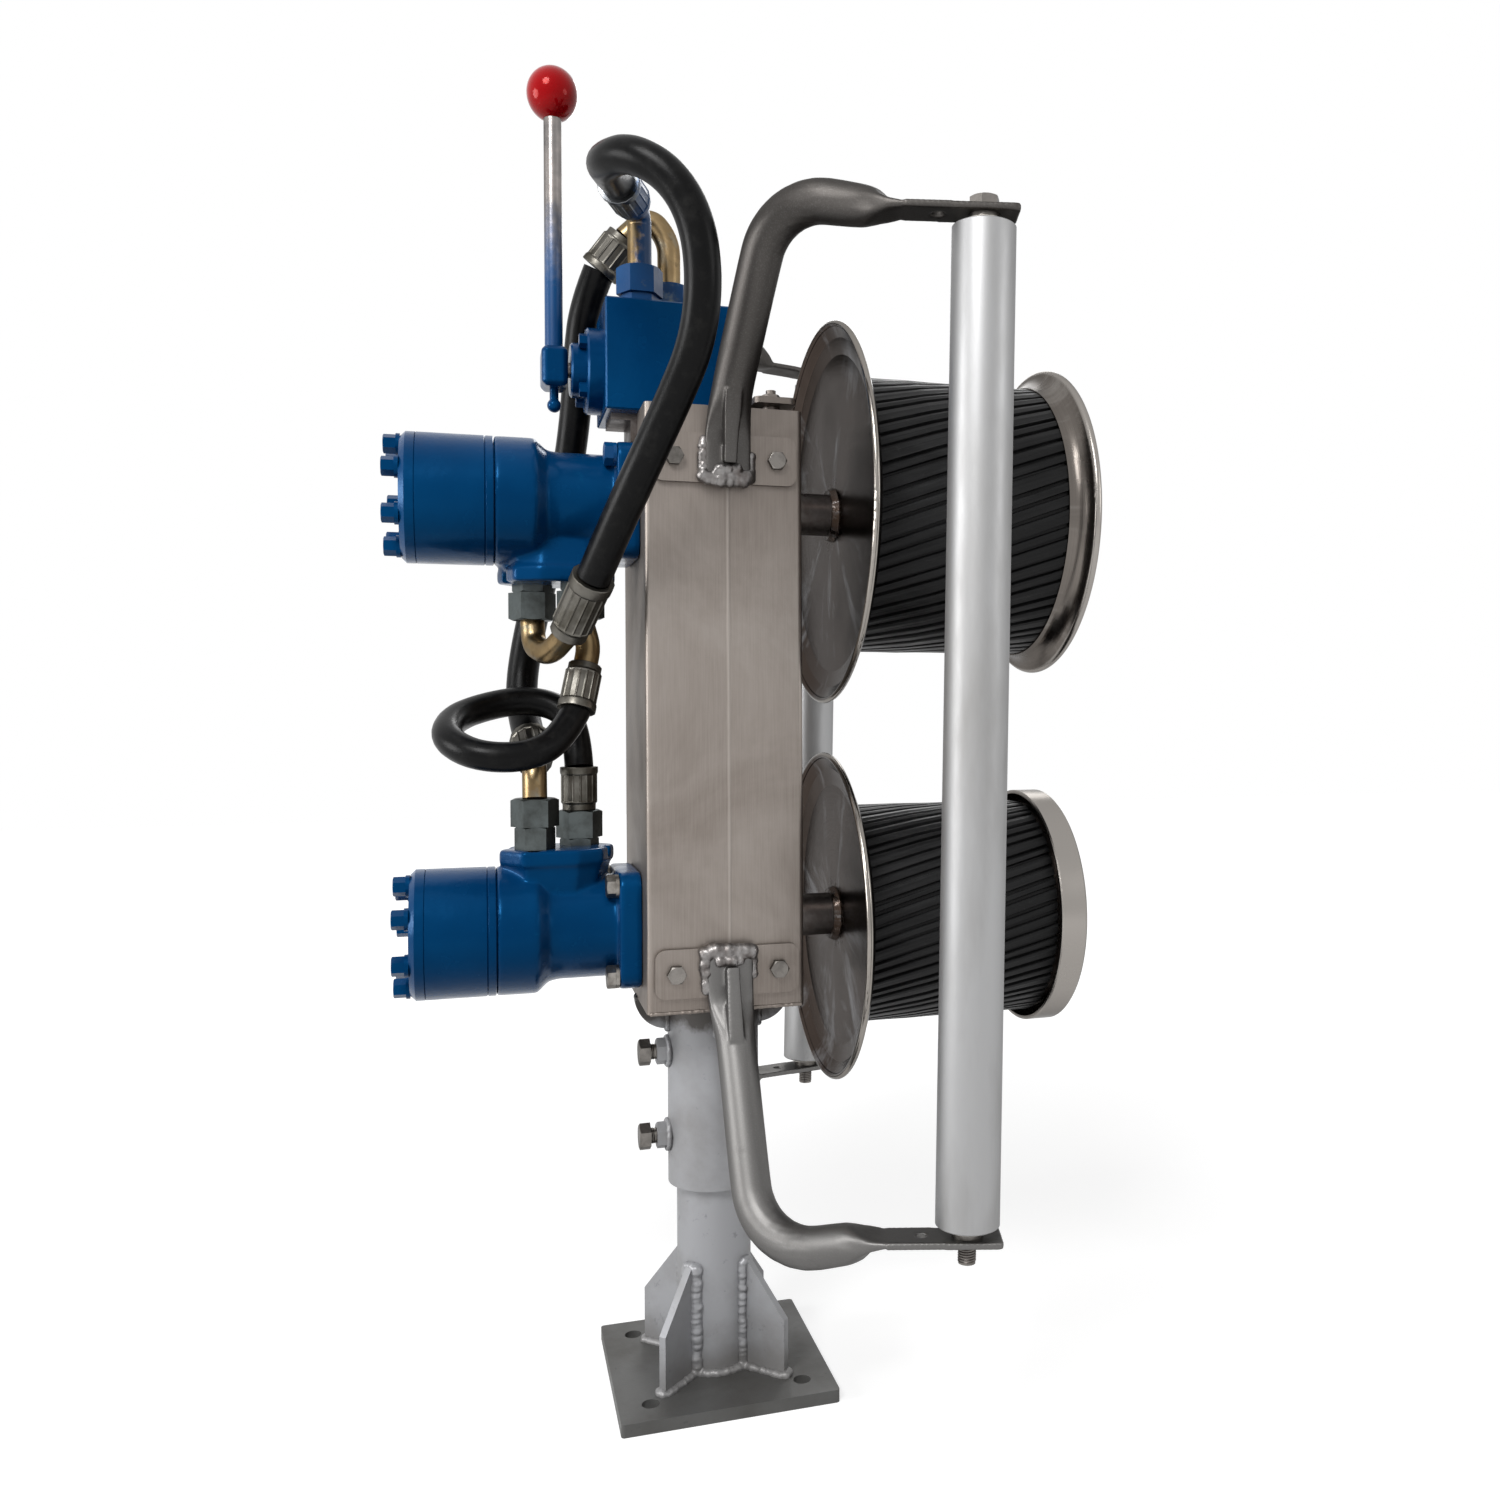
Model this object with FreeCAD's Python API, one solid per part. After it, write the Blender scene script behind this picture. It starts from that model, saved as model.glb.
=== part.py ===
import FreeCAD, Part
import math
import os

# Hydraulic twin-drum line hauler on a swivelling pedestal, in millimetres.
# X runs along the drum shafts, -Y is the side the operator faces, +Z is up.
# The origin is the centre of the base plate's underside.

# Base plate, post and gussets
plate_side = 170.0
plate_thick = 10.0
anchor_spacing = 120.0
anchor_hole = 14.0
plate_corner = 3.0
post_dia = 60.3
post_wall = 5.0
gusset_thick = 6.0
gusset_reach = 70.0
gusset_toe = 45.0
gusset_height = 87.0
gusset_top = 5.0

# Swivel sleeve, its stop disc and its lock screws
sleeve_wall = 6.65
sleeve_clearance = 0.3
sleeve_bottom = 160.0
stop_disc_thick = 5.0
lock_screw_drops = (46.1, 114.9)
lock_screw_dia = 12.0
lock_nut_af = 19.0
lock_nut_thick = 10.0
lock_nut_sunk = 1.5
lock_head_thick = 9.0
lock_head_gap = 5.0
thread_clearance = 0.15
screw_tip_gap = 0.3
rib_radius = 27.0
rib_thick = 8.0

# Head box
box_width = 123.0
box_shift = -0.9
box_depth = 144.0
box_bottom = 313.6
box_height = 464.4
box_wall = 3.0
box_corner = 4.0
top_plate_thick = 4.0

# Raised strap on the lid and the angle under the valve
strap_width = 34.0
strap_length = 120.0
strap_thick = 5.0
strap_rise = 8.0
strap_inset = 1.0
strap_corner = 6.0
strap_spacer_dia = 14.0
strap_bolt_spacing = 80.0
strap_bolt_af = 13.0
strap_bolt_head = 5.5
strap_stud_dia = 8.0
strap_stud_length = 9.0
bracket_leg = 22.0
bracket_setback = 5.6
bracket_width = 48.0
bracket_thick = 5.0

# Drum shafts, bearings and housings
lower_axis_rise = 59.7
upper_axis_drop = 66.3
shaft_dia = 35.0
bearing_dia = 72.0
bearing_width = 17.0
bearing_outer_race = 7.0
bearing_inner_race = 5.5
bearing_recess = 1.0
bearing_shoulder = 4.0
housing_wall = 8.0
cover_dia = 76.0
cover_thick = 5.0
cover_edge = 1.5
running_clearance = 0.05
wall_clearance = 1.0
spigot_dia = 25.0
coupling_dia = 44.0
coupling_length = 44.0
coupling_setback = 2.0
coupling_gap = 8.2
spigot_gap = 1.0
shoulder_gap = 1.0
shaft_nut_af = 36.0
shaft_nut_thick = 19.0
shaft_thread_dia = 24.0
shaft_thread_beyond = 3.0

# Drums
flange_gap = 46.4
sheet = 3.0
hub_dia = 42.0
hub_length = 5.0
hub_fillet = 2.0
drum_length = 184.0
upper_drum_radius = 116.0
lower_drum_radius = 92.0
lagging_thick = 10.0
core_wall = 4.0
upper_rim_radius = 159.6
lower_rim_radius = 137.0
inner_dish = 9.0
inner_dish_start = 0.62
inner_dish_curve = 0.3
upper_lip_radius = 132.8
lower_lip_radius = 101.0
lip_width = 20.0
lip_dish = 11.0
hem_radius = 2.6
lip_gap = 1.0
roll_depth = 4.0
roll_front = 2.0
roll_crest = 1.0
roll_back = 5.0
roll_back_depth = 3.0
flare_back = 10.0
flare_rise = 4.0
band_edge = 1.0
band_front = 3.0
band_bevel = 2.0
band_hem = 6.0
pan_corner = 12.0
strip_count = 60
strip_groove = 3.2
strip_depth = 3.0
groove_slope = 0.25
strip_twist = 29.0
strip_stations = 3
strip_unevenness = 0.22

# Hydraulic motors
motor_radius = 50.5
neck_radius = 40.5
motor_flange = 92.0
motor_flange_thick = 17.6
motor_flange_corner = 14.0
motor_flange_edge = 1.5
neck_length = 52.0
neck_flare = 1.5
neck_flare_length = 8.0
taper_length = 9.0
barrel_length = 30.5
spacer_thick = 6.5
lower_ring_length = 46.0
upper_ring_length = 51.0
end_cover_thick = 10.7
end_cover_bevel = 4.0
gear_ring_wall = 16.0
joint_line = 0.8
pilot_dia = 82.5
pilot_length = 2.8
pilot_clearance = 0.1
cover_bolt_count = 7
cover_bolt_circle = 40.0
cover_bolt_af = 13.0
cover_bolt_head = 9.3
cover_bolt_flange = 17.0
cover_bolt_flange_thick = 3.0
mount_bolt_offset = 35.5
mount_bolt_af = 16.0
mount_bolt_head = 7.0
mount_washer_dia = 18.0
mount_washer_thick = 2.6
pad_height = 64.7
pad_lip = 12.0
pad_centre = 61.6
pad_port_x = 18.0
pad_port_y = 14.0
pad_half_length = 46.0
pad_half_width = 34.0
pad_corner = 6.0
pad_foot_height = 12.0
pad_foot_top = 0.94
pad_foot_bottom = 0.7
pad_hole_dia = 6.8
pad_hole_depth = 9.0

# Port pad's outline and its bolt holes, as shares of the pad's half length and half width
pad_shape = ((-1.0, -0.35), (-0.62, -1.0), (0.3, -1.0), (0.72, -0.72), (1.0, 0.35), (0.62, 1.0),
             (-0.3, 1.0), (-0.72, 0.72))
pad_holes = ((-0.83, 0.12), (-0.42, -0.8), (0.83, -0.12), (0.42, 0.8))

# Directional valve and its lever
valve_length = 113.0
valve_width = 80.0
valve_height = 87.5
valve_strap_gap = 0.6
valve_axis_height = 37.0
valve_cover_dia = 68.0
valve_cover_thick = 12.7
valve_cap_dia = 43.0
valve_cap_thick = 11.8
valve_bolt_circle = 27.0
valve_bolt_af = 10.0
valve_bolt_head = 6.0
valve_edge = 1.2
valve_cover_edge = 1.5
spindle_dia = 12.0
spindle_depth = 60.0
spindle_inset = 2.0
spindle_end_gap = 5.0
hub_gap = 2.0
hub_width = 20.5
hub_height = 32.0
hub_bevel = 3.5
rod_dia = 14.0
rod_length = 184.0
knob_dia = 40.0
knob_height = 43.0
knob_socket = 3.0
set_screw_dia = 7.0
set_screw_length = 17.0
set_screw_head = 11.0
set_screw_head_rise = 4.0
valve_port_front = (-59.0, -18.0)
valve_port_rear = (-30.0, 22.0)
supply_port_dia = 18.6
supply_port_depth = 16.0
supply_port_first = 20.0
supply_port_spacing = 40.0

# Arms, their plates and the rollers
arm_plate_width = 112.0
arm_plate_height = 38.0
arm_plate_thick = 4.0
arm_plate_corner = 8.0
arm_bolt_spacing = 80.0
arm_bolt_af = 13.0
arm_bolt_head = 5.5
lower_plate_rise = 30.7
upper_plate_drop = 37.4
arm_dia = 28.5
flat_width = 36.0
flat_thick = 7.0
weld_gap = 0.2
foot_setback = 17.0
knee_rise = 12.0
round_rise = 55.0
round_setback = 14.0
arm_shift = 1.0
round_shift = 2.0
bend_shift = 4.0
neck_share = 0.3
tab_sunk = 5.0
tab_edge_gap = 1.5
tab_face_gap = 0.6
arm_bend_radius = 52.0
arm_facets = 16
arm_bend_stations = 8
arm_blend_stations = 3
upper_bend_shift = 16.0
bend_setback = 76.0
bend_rise = 25.0
bar_tilt = 15.0
bar_side = 10.0
bar_length = 54.0
bar_setback = 6.0
bar_sunk = 1.0
roller_dia = 45.0
roller_wall = 3.0
roller_edge = 0.8
roller_below_box = 123.6
roller_above_box = 102.0
roller_x = 143.5
roller_y = 235.0
roller_lean = 1.25
axle_dia = 12.0
bush_flange = 3.0
bush_depth = 20.0
bush_flange_dia = 30.0
washer_dia = 22.0
washer_thick = 4.0
washer_gap = 0.5
tab_thick = 5.0
tab_width = 30.0
tab_beyond = 24.0
tab_corner = 3.0
tab_before = 56.0
tab_angle = 15.0
tab_hole = 9.0
tab_hole_offset = 32.0
axle_af = 19.0
axle_head = 8.0
axle_stub = 14.0
hole_clearance = 0.5

# Hoses and fittings
large_hose_dia = 26.0
small_hose_dia = 23.0
pipe_dia = 19.0
nut_af = 32.0
nut_length = 22.0
adapter_af = 27.0
valve_adapter_length = 8.0
left_adapter_length = 18.0
right_adapter_length = 6.0
ferrule_wall = 3.2
ferrule_edge = 1.5
front_pipe_rise = 42.0
rear_pipe_rise = 38.0
rear_pipe_knee = (-16.0, 1.0, 58.0)
upper_pipe_drop = (1.0, -5.0, -20.0)
upper_pipe_knee = (11.0, -38.0, -29.0)
middle_pipe_drop = (6.0, -1.0, -22.0)
lower_pipe_rise = (0.0, 4.0, 24.0)
path_share = 0.45

# How far a cutting tool runs past a face, and how deep a root is sunk before it is trimmed
past = 1.0
root = 2.0

# Places that follow from the sizes above
post_radius = post_dia / 2
post_top = box_bottom - stop_disc_thick
sleeve_bore = post_radius + sleeve_clearance
sleeve_radius = sleeve_bore + sleeve_wall
box_left = box_shift - box_width / 2
box_right = box_shift + box_width / 2
box_front = -box_depth / 2
box_top = box_bottom + box_height
lid_top = box_top + top_plate_thick
lower_axis = box_bottom + lower_axis_rise
upper_axis = box_top - upper_axis_drop
lower_plate_z = box_bottom + lower_plate_rise
upper_plate_z = box_top - upper_plate_drop
housing_end = box_right - box_wall
coupling_room = pilot_length + coupling_gap + coupling_length + coupling_setback + shoulder_gap
housing_length = box_width - box_wall - coupling_room
flange_x = box_right + flange_gap
outer_x = flange_x + drum_length
pad_x = box_left - pad_centre
valve_left = box_right - strap_inset - strap_width - valve_strap_gap - valve_length
valve_axis = lid_top + valve_axis_height
valve_top = lid_top + valve_height
cap_x = valve_left - valve_cover_thick - valve_cap_thick
lever_x = cap_x - hub_gap - hub_width / 2
lever_top = valve_axis + hub_height / 2
arm_plate_face = box_depth / 2 + arm_plate_thick
roller_bottom = box_bottom - roller_below_box
roller_top = box_top + roller_above_box
roller_middle = (roller_bottom + roller_top) / 2
tab_gap = bush_flange + washer_gap + washer_thick


def vec(x, y, z):
    return FreeCAD.Vector(x, y, z)


def cyl_x(radius, start, end, y, z):
    return Part.makeCylinder(radius, end - start, vec(start, y, z), vec(1, 0, 0))


def cyl_z(radius, start, end, x, y):
    return Part.makeCylinder(radius, end - start, vec(x, y, start))


def block(low, high):
    return Part.makeBox(high[0] - low[0], high[1] - low[1], high[2] - low[2], vec(*low))


def polygon_face(points):
    return Part.Face(Part.makePolygon(points + [points[0]]))


# A profile of (distance along X, radius) turned about a shaft's axis
def turned(points, axis_z):
    face = polygon_face([vec(x, 0, axis_z + r) for x, r in points])
    return face.revolve(vec(0, 0, axis_z), vec(1, 0, 0), 360)


# A hexagon with turned corners, standing on the XY plane
def hexagon(across_flats, height):
    corner = across_flats / math.sqrt(3)
    points = []
    for k in range(6):
        turn = math.radians(60 * k)
        points.append(vec(corner * math.cos(turn), corner * math.sin(turn), 0))
    prism = polygon_face(points).extrude(vec(0, 0, height))
    bevel = (corner - across_flats / 2) * 0.6
    outline = [vec(0, 0, 0), vec(corner, 0, 0), vec(corner, 0, height - bevel)]
    outline += [vec(across_flats * 0.48, 0, height), vec(0, 0, height)]
    envelope = polygon_face(outline).revolve(vec(0, 0, 0), vec(0, 0, 1), 360)
    return prism.common(envelope)


# Stands a shape built along +Z at a place, pointing another way
def placed(shape, place, direction):
    turned_shape = shape.copy()
    rotation = FreeCAD.Rotation(vec(0, 0, 1), direction)
    turned_shape.Placement = FreeCAD.Placement(place, rotation).multiply(turned_shape.Placement)
    return turned_shape


def mirrored_y(shape):
    return shape.mirror(vec(0, 0, 0), vec(0, 1, 0))


# Straight runs joined by tangent arcs; returns the wire and the arcs' radii
def rounded_path(points, radius=None):
    edges = []
    radii = []
    last = points[0]
    for before, corner, after in zip(points, points[1:], points[2:]):
        back = before - corner
        ahead = after - corner
        half_turn = (math.pi - back.getAngle(ahead)) / 2
        cut = path_share * min(back.Length, ahead.Length)
        if radius is not None:
            cut = radius * math.tan(half_turn)
        arc_radius = cut / math.tan(half_turn)
        back.normalize()
        ahead.normalize()
        middle = back + ahead
        middle.normalize()
        depth = arc_radius / math.cos(half_turn) - arc_radius
        start = corner + back * cut
        end = corner + ahead * cut
        edges.append(Part.LineSegment(last, start).toShape())
        edges.append(Part.Arc(start, corner + middle * depth, end).toShape())
        radii.append(arc_radius)
        last = end
    edges.append(Part.LineSegment(last, points[-1]).toShape())
    return Part.Wire(edges), radii


def swept_round(points, diameter, radius=None):
    path, radii = rounded_path(points, radius)
    direction = points[1] - points[0]
    circle = Part.Wire(Part.Circle(points[0], direction, diameter / 2).toShape())
    tube = path.makePipeShell([circle], True, False)
    return tube, path, radii


# Base: bolted plate, post and four gussets on the diagonals
def base_plate():
    half = plate_side / 2
    plate = block((-half, -half, 0), (half, half, plate_thick))
    corners = [edge for edge in plate.Edges if abs(edge.Length - plate_thick) < 0.01]
    plate = plate.makeFillet(plate_corner, corners)
    for x in (-1, 1):
        for y in (-1, 1):
            at = anchor_spacing / 2
            plate = plate.cut(cyl_z(anchor_hole / 2, -past, plate_thick + past, x * at, y * at))
    return plate


def post_tube():
    outer = cyl_z(post_radius, plate_thick, post_top, 0, 0)
    return outer.cut(cyl_z(post_radius - post_wall, plate_thick - past, post_top + past, 0, 0))


def gusset(turn):
    inside = post_radius - root
    top = plate_thick + gusset_height
    outline = [vec(inside, 0, plate_thick), vec(gusset_reach, 0, plate_thick)]
    outline += [vec(gusset_reach, 0, plate_thick + gusset_toe), vec(post_radius + gusset_top, 0, top)]
    outline += [vec(inside, 0, top)]
    web = polygon_face(outline).extrude(vec(0, gusset_thick, 0))
    web.translate(vec(0, -gusset_thick / 2, 0))
    web = web.cut(cyl_z(post_radius, plate_thick - past, top + past, 0, 0))
    web.rotate(vec(0, 0, 0), vec(0, 0, 1), turn)
    return web


def base_gussets():
    return [gusset(45 + 90 * k) for k in range(4)]


# Head: sleeve with welded nuts and quarter-round ribs under the box
def lock_screw_heights():
    return [box_bottom - drop for drop in lock_screw_drops]


def swivel_sleeve():
    sleeve = cyl_z(sleeve_radius, sleeve_bottom, box_bottom, 0, 0)
    nut_start = sleeve_radius - lock_nut_sunk
    for height in lock_screw_heights():
        nut = hexagon(lock_nut_af, lock_nut_thick + lock_nut_sunk)
        sleeve = sleeve.fuse(placed(nut, vec(-nut_start, 0, height), vec(-1, 0, 0)))
    sleeve = sleeve.cut(cyl_z(sleeve_bore, sleeve_bottom - past, box_bottom + past, 0, 0))
    for height in lock_screw_heights():
        hole = lock_screw_dia / 2 + thread_clearance
        sleeve = sleeve.cut(cyl_x(hole, -sleeve_radius - lock_nut_thick - past, 0, 0, height))
    for k in range(4):
        sleeve = sleeve.fuse(head_rib(90 * k))
    return sleeve


def head_rib(turn):
    edge = sleeve_radius - root
    low = box_bottom - rib_radius
    start = vec(sleeve_radius, -rib_thick / 2, box_bottom)
    disc = Part.makeCylinder(rib_radius, rib_thick, start, vec(0, 1, 0))
    frame = block((edge, -rib_thick / 2, low), (sleeve_radius + rib_radius + past, rib_thick / 2, box_bottom))
    rib = disc.common(frame).cut(cyl_z(sleeve_radius, low - past, box_bottom + past, 0, 0))
    rib.rotate(vec(0, 0, 0), vec(0, 0, 1), turn)
    return rib


def stop_disc():
    return cyl_z(post_radius, post_top, box_bottom, 0, 0)


def lock_screw(height):
    tip = -(post_radius + screw_tip_gap)
    head_start = -(sleeve_radius + lock_nut_thick + lock_head_gap)
    shank = cyl_x(lock_screw_dia / 2, head_start, tip, 0, height)
    head = placed(hexagon(lock_nut_af, lock_head_thick), vec(head_start, 0, height), vec(-1, 0, 0))
    return shank.fuse(head)


# Head box: folded sheet, open at the top under its lid, bored for motors and shafts
def head_box():
    outer = block((box_left, box_front, box_bottom), (box_right, -box_front, box_top))
    upright = [edge for edge in outer.Edges if abs(edge.Length - box_height) < 0.01]
    outer = outer.makeFillet(box_corner, upright)
    inner = block((box_left + box_wall, box_front + box_wall, box_bottom + box_wall),
                  (box_right - box_wall, -box_front - box_wall, box_top + past))
    shell = outer.cut(inner)
    for axis in (lower_axis, upper_axis):
        pilot = pilot_dia / 2 + pilot_clearance
        shell = shell.cut(cyl_x(pilot, box_left - past, box_left + box_wall + past, 0, axis))
        bore = shaft_dia / 2 + wall_clearance
        shell = shell.cut(cyl_x(bore, housing_end - past, box_right + past, 0, axis))
    return shell


def top_plate():
    lid = block((box_left, box_front, box_top), (box_right, -box_front, lid_top))
    corners = [edge for edge in lid.Edges if abs(edge.Length - top_plate_thick) < 0.01]
    return lid.makeFillet(box_corner, corners)


# Raised strap beside the valve, on two spacers with domed bolts
def top_strap():
    right = box_right - strap_inset
    left = right - strap_width
    middle = (left + right) / 2
    half = strap_length / 2
    low = lid_top + strap_rise
    high = low + strap_thick
    strap = block((left, -half, low), (right, half, high))
    upright = [edge for edge in strap.Edges if abs(edge.Length - strap_thick) < 0.01]
    strap = strap.makeFillet(strap_corner, upright)
    for y in (-strap_bolt_spacing / 2, strap_bolt_spacing / 2):
        strap = strap.fuse(cyl_z(strap_spacer_dia / 2, lid_top, low, middle, y))
        head = hexagon(strap_bolt_af, strap_bolt_head)
        strap = strap.fuse(placed(head, vec(middle, y, high), vec(0, 0, 1)))
        strap = strap.fuse(cyl_z(strap_stud_dia / 2, high, high + strap_stud_length, middle, y))
    return strap


# Angle welded to the box's left wall, under the valve's overhang
def valve_bracket():
    half = bracket_width / 2
    upright = block((box_left - bracket_thick, -half, lid_top - bracket_leg), (box_left, half, lid_top))
    end = valve_left + bracket_setback
    shelf = block((end, -half, lid_top - bracket_thick), (box_left, half, lid_top))
    return upright.fuse(shelf)


# Drum bearings in a housing welded behind the box's right wall
def bearing_housing(axis):
    outer = bearing_dia / 2 + housing_wall
    start = housing_end - housing_length
    housing = cyl_x(outer, start, housing_end, 0, axis)
    middle = bearing_dia / 2 - bearing_shoulder
    housing = housing.cut(cyl_x(middle, start - past, housing_end + past, 0, axis))
    for bearing in bearing_starts():
        housing = housing.cut(cyl_x(bearing_dia / 2, bearing, bearing + bearing_width, 0, axis))
    return housing


def bearing_starts():
    return [housing_end - housing_length, housing_end - bearing_width]


def bearing(start, axis):
    ring = cyl_x(bearing_dia / 2, start, start + bearing_width, 0, axis)
    end = start + bearing_width
    ring = ring.cut(cyl_x(shaft_dia / 2 + running_clearance, start - past, end + past, 0, axis))
    land = bearing_dia / 2 - bearing_outer_race
    race = shaft_dia / 2 + bearing_inner_race
    for face in (start, end):
        trough = cyl_x(land, face - bearing_recess, face + bearing_recess, 0, axis)
        trough = trough.cut(cyl_x(race, face - bearing_width, face + bearing_width, 0, axis))
        ring = ring.cut(trough)
    return ring


def bearings():
    return [bearing(start, axis) for axis in (lower_axis, upper_axis) for start in bearing_starts()]


def bearing_cover(axis):
    cover = cyl_x(cover_dia / 2, box_right, box_right + cover_thick, 0, axis)
    rims = [edge for edge in cover.Edges if edge.BoundBox.XMin > box_right + 0.01
            and edge.BoundBox.XLength < 0.01]
    cover = cover.makeFillet(cover_edge, rims)
    bore = shaft_dia / 2 + running_clearance
    return cover.cut(cyl_x(bore, box_right - past, box_right + cover_thick + past, 0, axis))


# Drum shaft with its coupling spigot and the threaded end that holds the drum
def shaft_step():
    return housing_end - housing_length - shoulder_gap


def coupling_start():
    return shaft_step() - coupling_setback - coupling_length


def drum_shaft(axis):
    seat = outer_x - lip_dish + sheet
    step = shaft_step()
    spigot = coupling_start() + coupling_length / 2 + spigot_gap
    shaft = cyl_x(shaft_dia / 2, step, seat, 0, axis)
    shaft = shaft.fuse(cyl_x(spigot_dia / 2, spigot, step, 0, axis))
    end = seat + shaft_nut_thick + shaft_thread_beyond
    return shaft.fuse(cyl_x(shaft_thread_dia / 2, seat, end, 0, axis))


def shaft_nut(axis):
    seat = outer_x - lip_dish + sheet
    nut = placed(hexagon(shaft_nut_af, shaft_nut_thick), vec(seat, 0, axis), vec(1, 0, 0))
    return nut.cut(cyl_x(shaft_thread_dia / 2, seat - past, seat + shaft_nut_thick + past, 0, axis))


def coupling(axis):
    start = coupling_start()
    sleeve = cyl_x(coupling_dia / 2, start, start + coupling_length, 0, axis)
    return sleeve.cut(cyl_x(spigot_dia / 2, start - past, start + coupling_length + past, 0, axis))


def motor_shaft(axis):
    end = coupling_start() + coupling_length / 2 - spigot_gap
    inside = box_left - motor_flange_thick - neck_length
    return cyl_x(spigot_dia / 2, inside, end, 0, axis)


# Inner flange: a spun disc dished towards the box, with a hemmed rim and a hub
def inner_flange(axis, rim, drum):
    start = drum + (rim - drum) * (1 - inner_dish_start)
    back = flange_x
    front = flange_x - sheet
    rim_x = flange_x - inner_dish
    bore = shaft_dia / 2
    hub = hub_dia / 2
    outline = [(front - hub_length, bore), (front - hub_length, hub), (front, hub + hub_fillet)]
    outline += [(front, start), (front - inner_dish * inner_dish_curve, (start + rim) / 2)]
    outline += [(rim_x - sheet, rim - hem_radius), (rim_x, rim - hem_radius)]
    outline += [(back - inner_dish * inner_dish_curve, (start + rim) / 2), (back, start), (back, bore)]
    disc = turned(outline, axis)
    hem = Part.makeTorus(rim - hem_radius, hem_radius, vec(rim_x - sheet / 2, 0, axis), vec(1, 0, 0))
    return disc.fuse(hem)


# Outer flange of the upper drum: spun with a flared lip that rolls over at its rim
def flared_flange(axis):
    rim = upper_lip_radius
    lip = upper_drum_radius + lip_gap
    start = outer_x - lip_width
    inner = Part.makePolygon([vec(start, 0, axis + lip), vec(start, 0, axis + lip - sheet),
                              vec(outer_x - lip_dish, 0, axis + lip - sheet),
                              vec(outer_x - lip_dish, 0, axis + shaft_dia / 2),
                              vec(outer_x - lip_dish + sheet, 0, axis + shaft_dia / 2),
                              vec(outer_x - lip_dish + sheet, 0, axis + lip - 2 * sheet),
                              vec(outer_x, 0, axis + lip),
                              vec(outer_x + roll_front, 0, axis + rim - roll_depth)])
    roll_end = vec(outer_x - roll_back, 0, axis + rim - roll_back_depth)
    roll = Part.Arc(vec(outer_x + roll_front, 0, axis + rim - roll_depth),
                    vec(outer_x - roll_crest, 0, axis + rim), roll_end).toShape()
    flare = Part.Arc(roll_end, vec(outer_x - flare_back, 0, axis + lip + flare_rise),
                     vec(start, 0, axis + lip)).toShape()
    face = Part.Face(Part.Wire(inner.Edges + [roll, flare]))
    return face.revolve(vec(0, 0, axis), vec(1, 0, 0), 360)


# Outer flange of the lower drum: a pan whose band closes over the lagging
def banded_flange(axis):
    rim = lower_lip_radius
    start = outer_x - lip_width
    seat = outer_x - lip_dish
    bore = shaft_dia / 2
    front = outer_x + band_front
    outline = [(start, rim - sheet), (start, rim - band_edge), (start + band_edge, rim)]
    outline += [(front - band_bevel, rim), (front, rim - band_bevel), (front, rim - band_hem)]
    outline += [(seat + sheet, rim - pan_corner), (seat + sheet, bore)]
    outline += [(seat, bore), (seat, rim - pan_corner)]
    outline.append((outer_x - band_bevel, rim - sheet))
    return turned(outline, axis)


def drum_core(axis, drum):
    outer = drum - lagging_thick
    core = cyl_x(outer, flange_x, outer_x - lip_dish, 0, axis)
    return core.cut(cyl_x(outer - core_wall, flange_x - past, outer_x, 0, axis))


# Rubber lagging: uneven strips that wind about the drum, each parted from the next by a groove
def strip_edges():
    widths = [1 + strip_unevenness * math.sin(2.4 * k) for k in range(strip_count)]
    total = sum(widths)
    turn = 0.0
    edges = []
    for width in widths:
        edges.append(turn)
        turn += 360.0 * width / total
    edges.append(360.0)
    return edges


def lagging_section(x, axis, drum, turn):
    groove = math.degrees(strip_groove / drum)
    points = []
    edges = strip_edges()
    for start, end in zip(edges, edges[1:]):
        slope = groove * groove_slope
        for angle, radius in ((start + groove - slope, drum - strip_depth), (start + groove, drum),
                              (end - slope, drum), (end, drum - strip_depth)):
            at = math.radians(angle + turn)
            points.append(vec(x, radius * math.cos(at), axis + radius * math.sin(at)))
    return points + [points[0]]


# The sections are joined corner by corner, so that every strip keeps its own winding faces
def lagging(axis, drum, end):
    start = flange_x
    sections = []
    for k in range(strip_stations + 1):
        share = k / strip_stations
        sections.append(lagging_section(start + (end - start) * share, axis, drum, -strip_twist * share))
    faces = []
    for near, far in zip(sections, sections[1:]):
        for a, b, c, d in zip(near, near[1:], far, far[1:]):
            first = Part.LineSegment(a, b).toShape()
            second = Part.LineSegment(c, d).toShape()
            faces.append(Part.makeRuledSurface(first, second))
    bore = cyl_x(drum - lagging_thick, start, end, 0, axis)
    for section in (sections[0], sections[-1]):
        faces.append(Part.Face(Part.makePolygon(section)).cut(bore).Faces[0])
    faces.append([face for face in bore.Faces if face.BoundBox.XLength > 1][0])
    shell = Part.makeShell(faces)
    shell.sewShape()
    return Part.makeSolid(shell)


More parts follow.
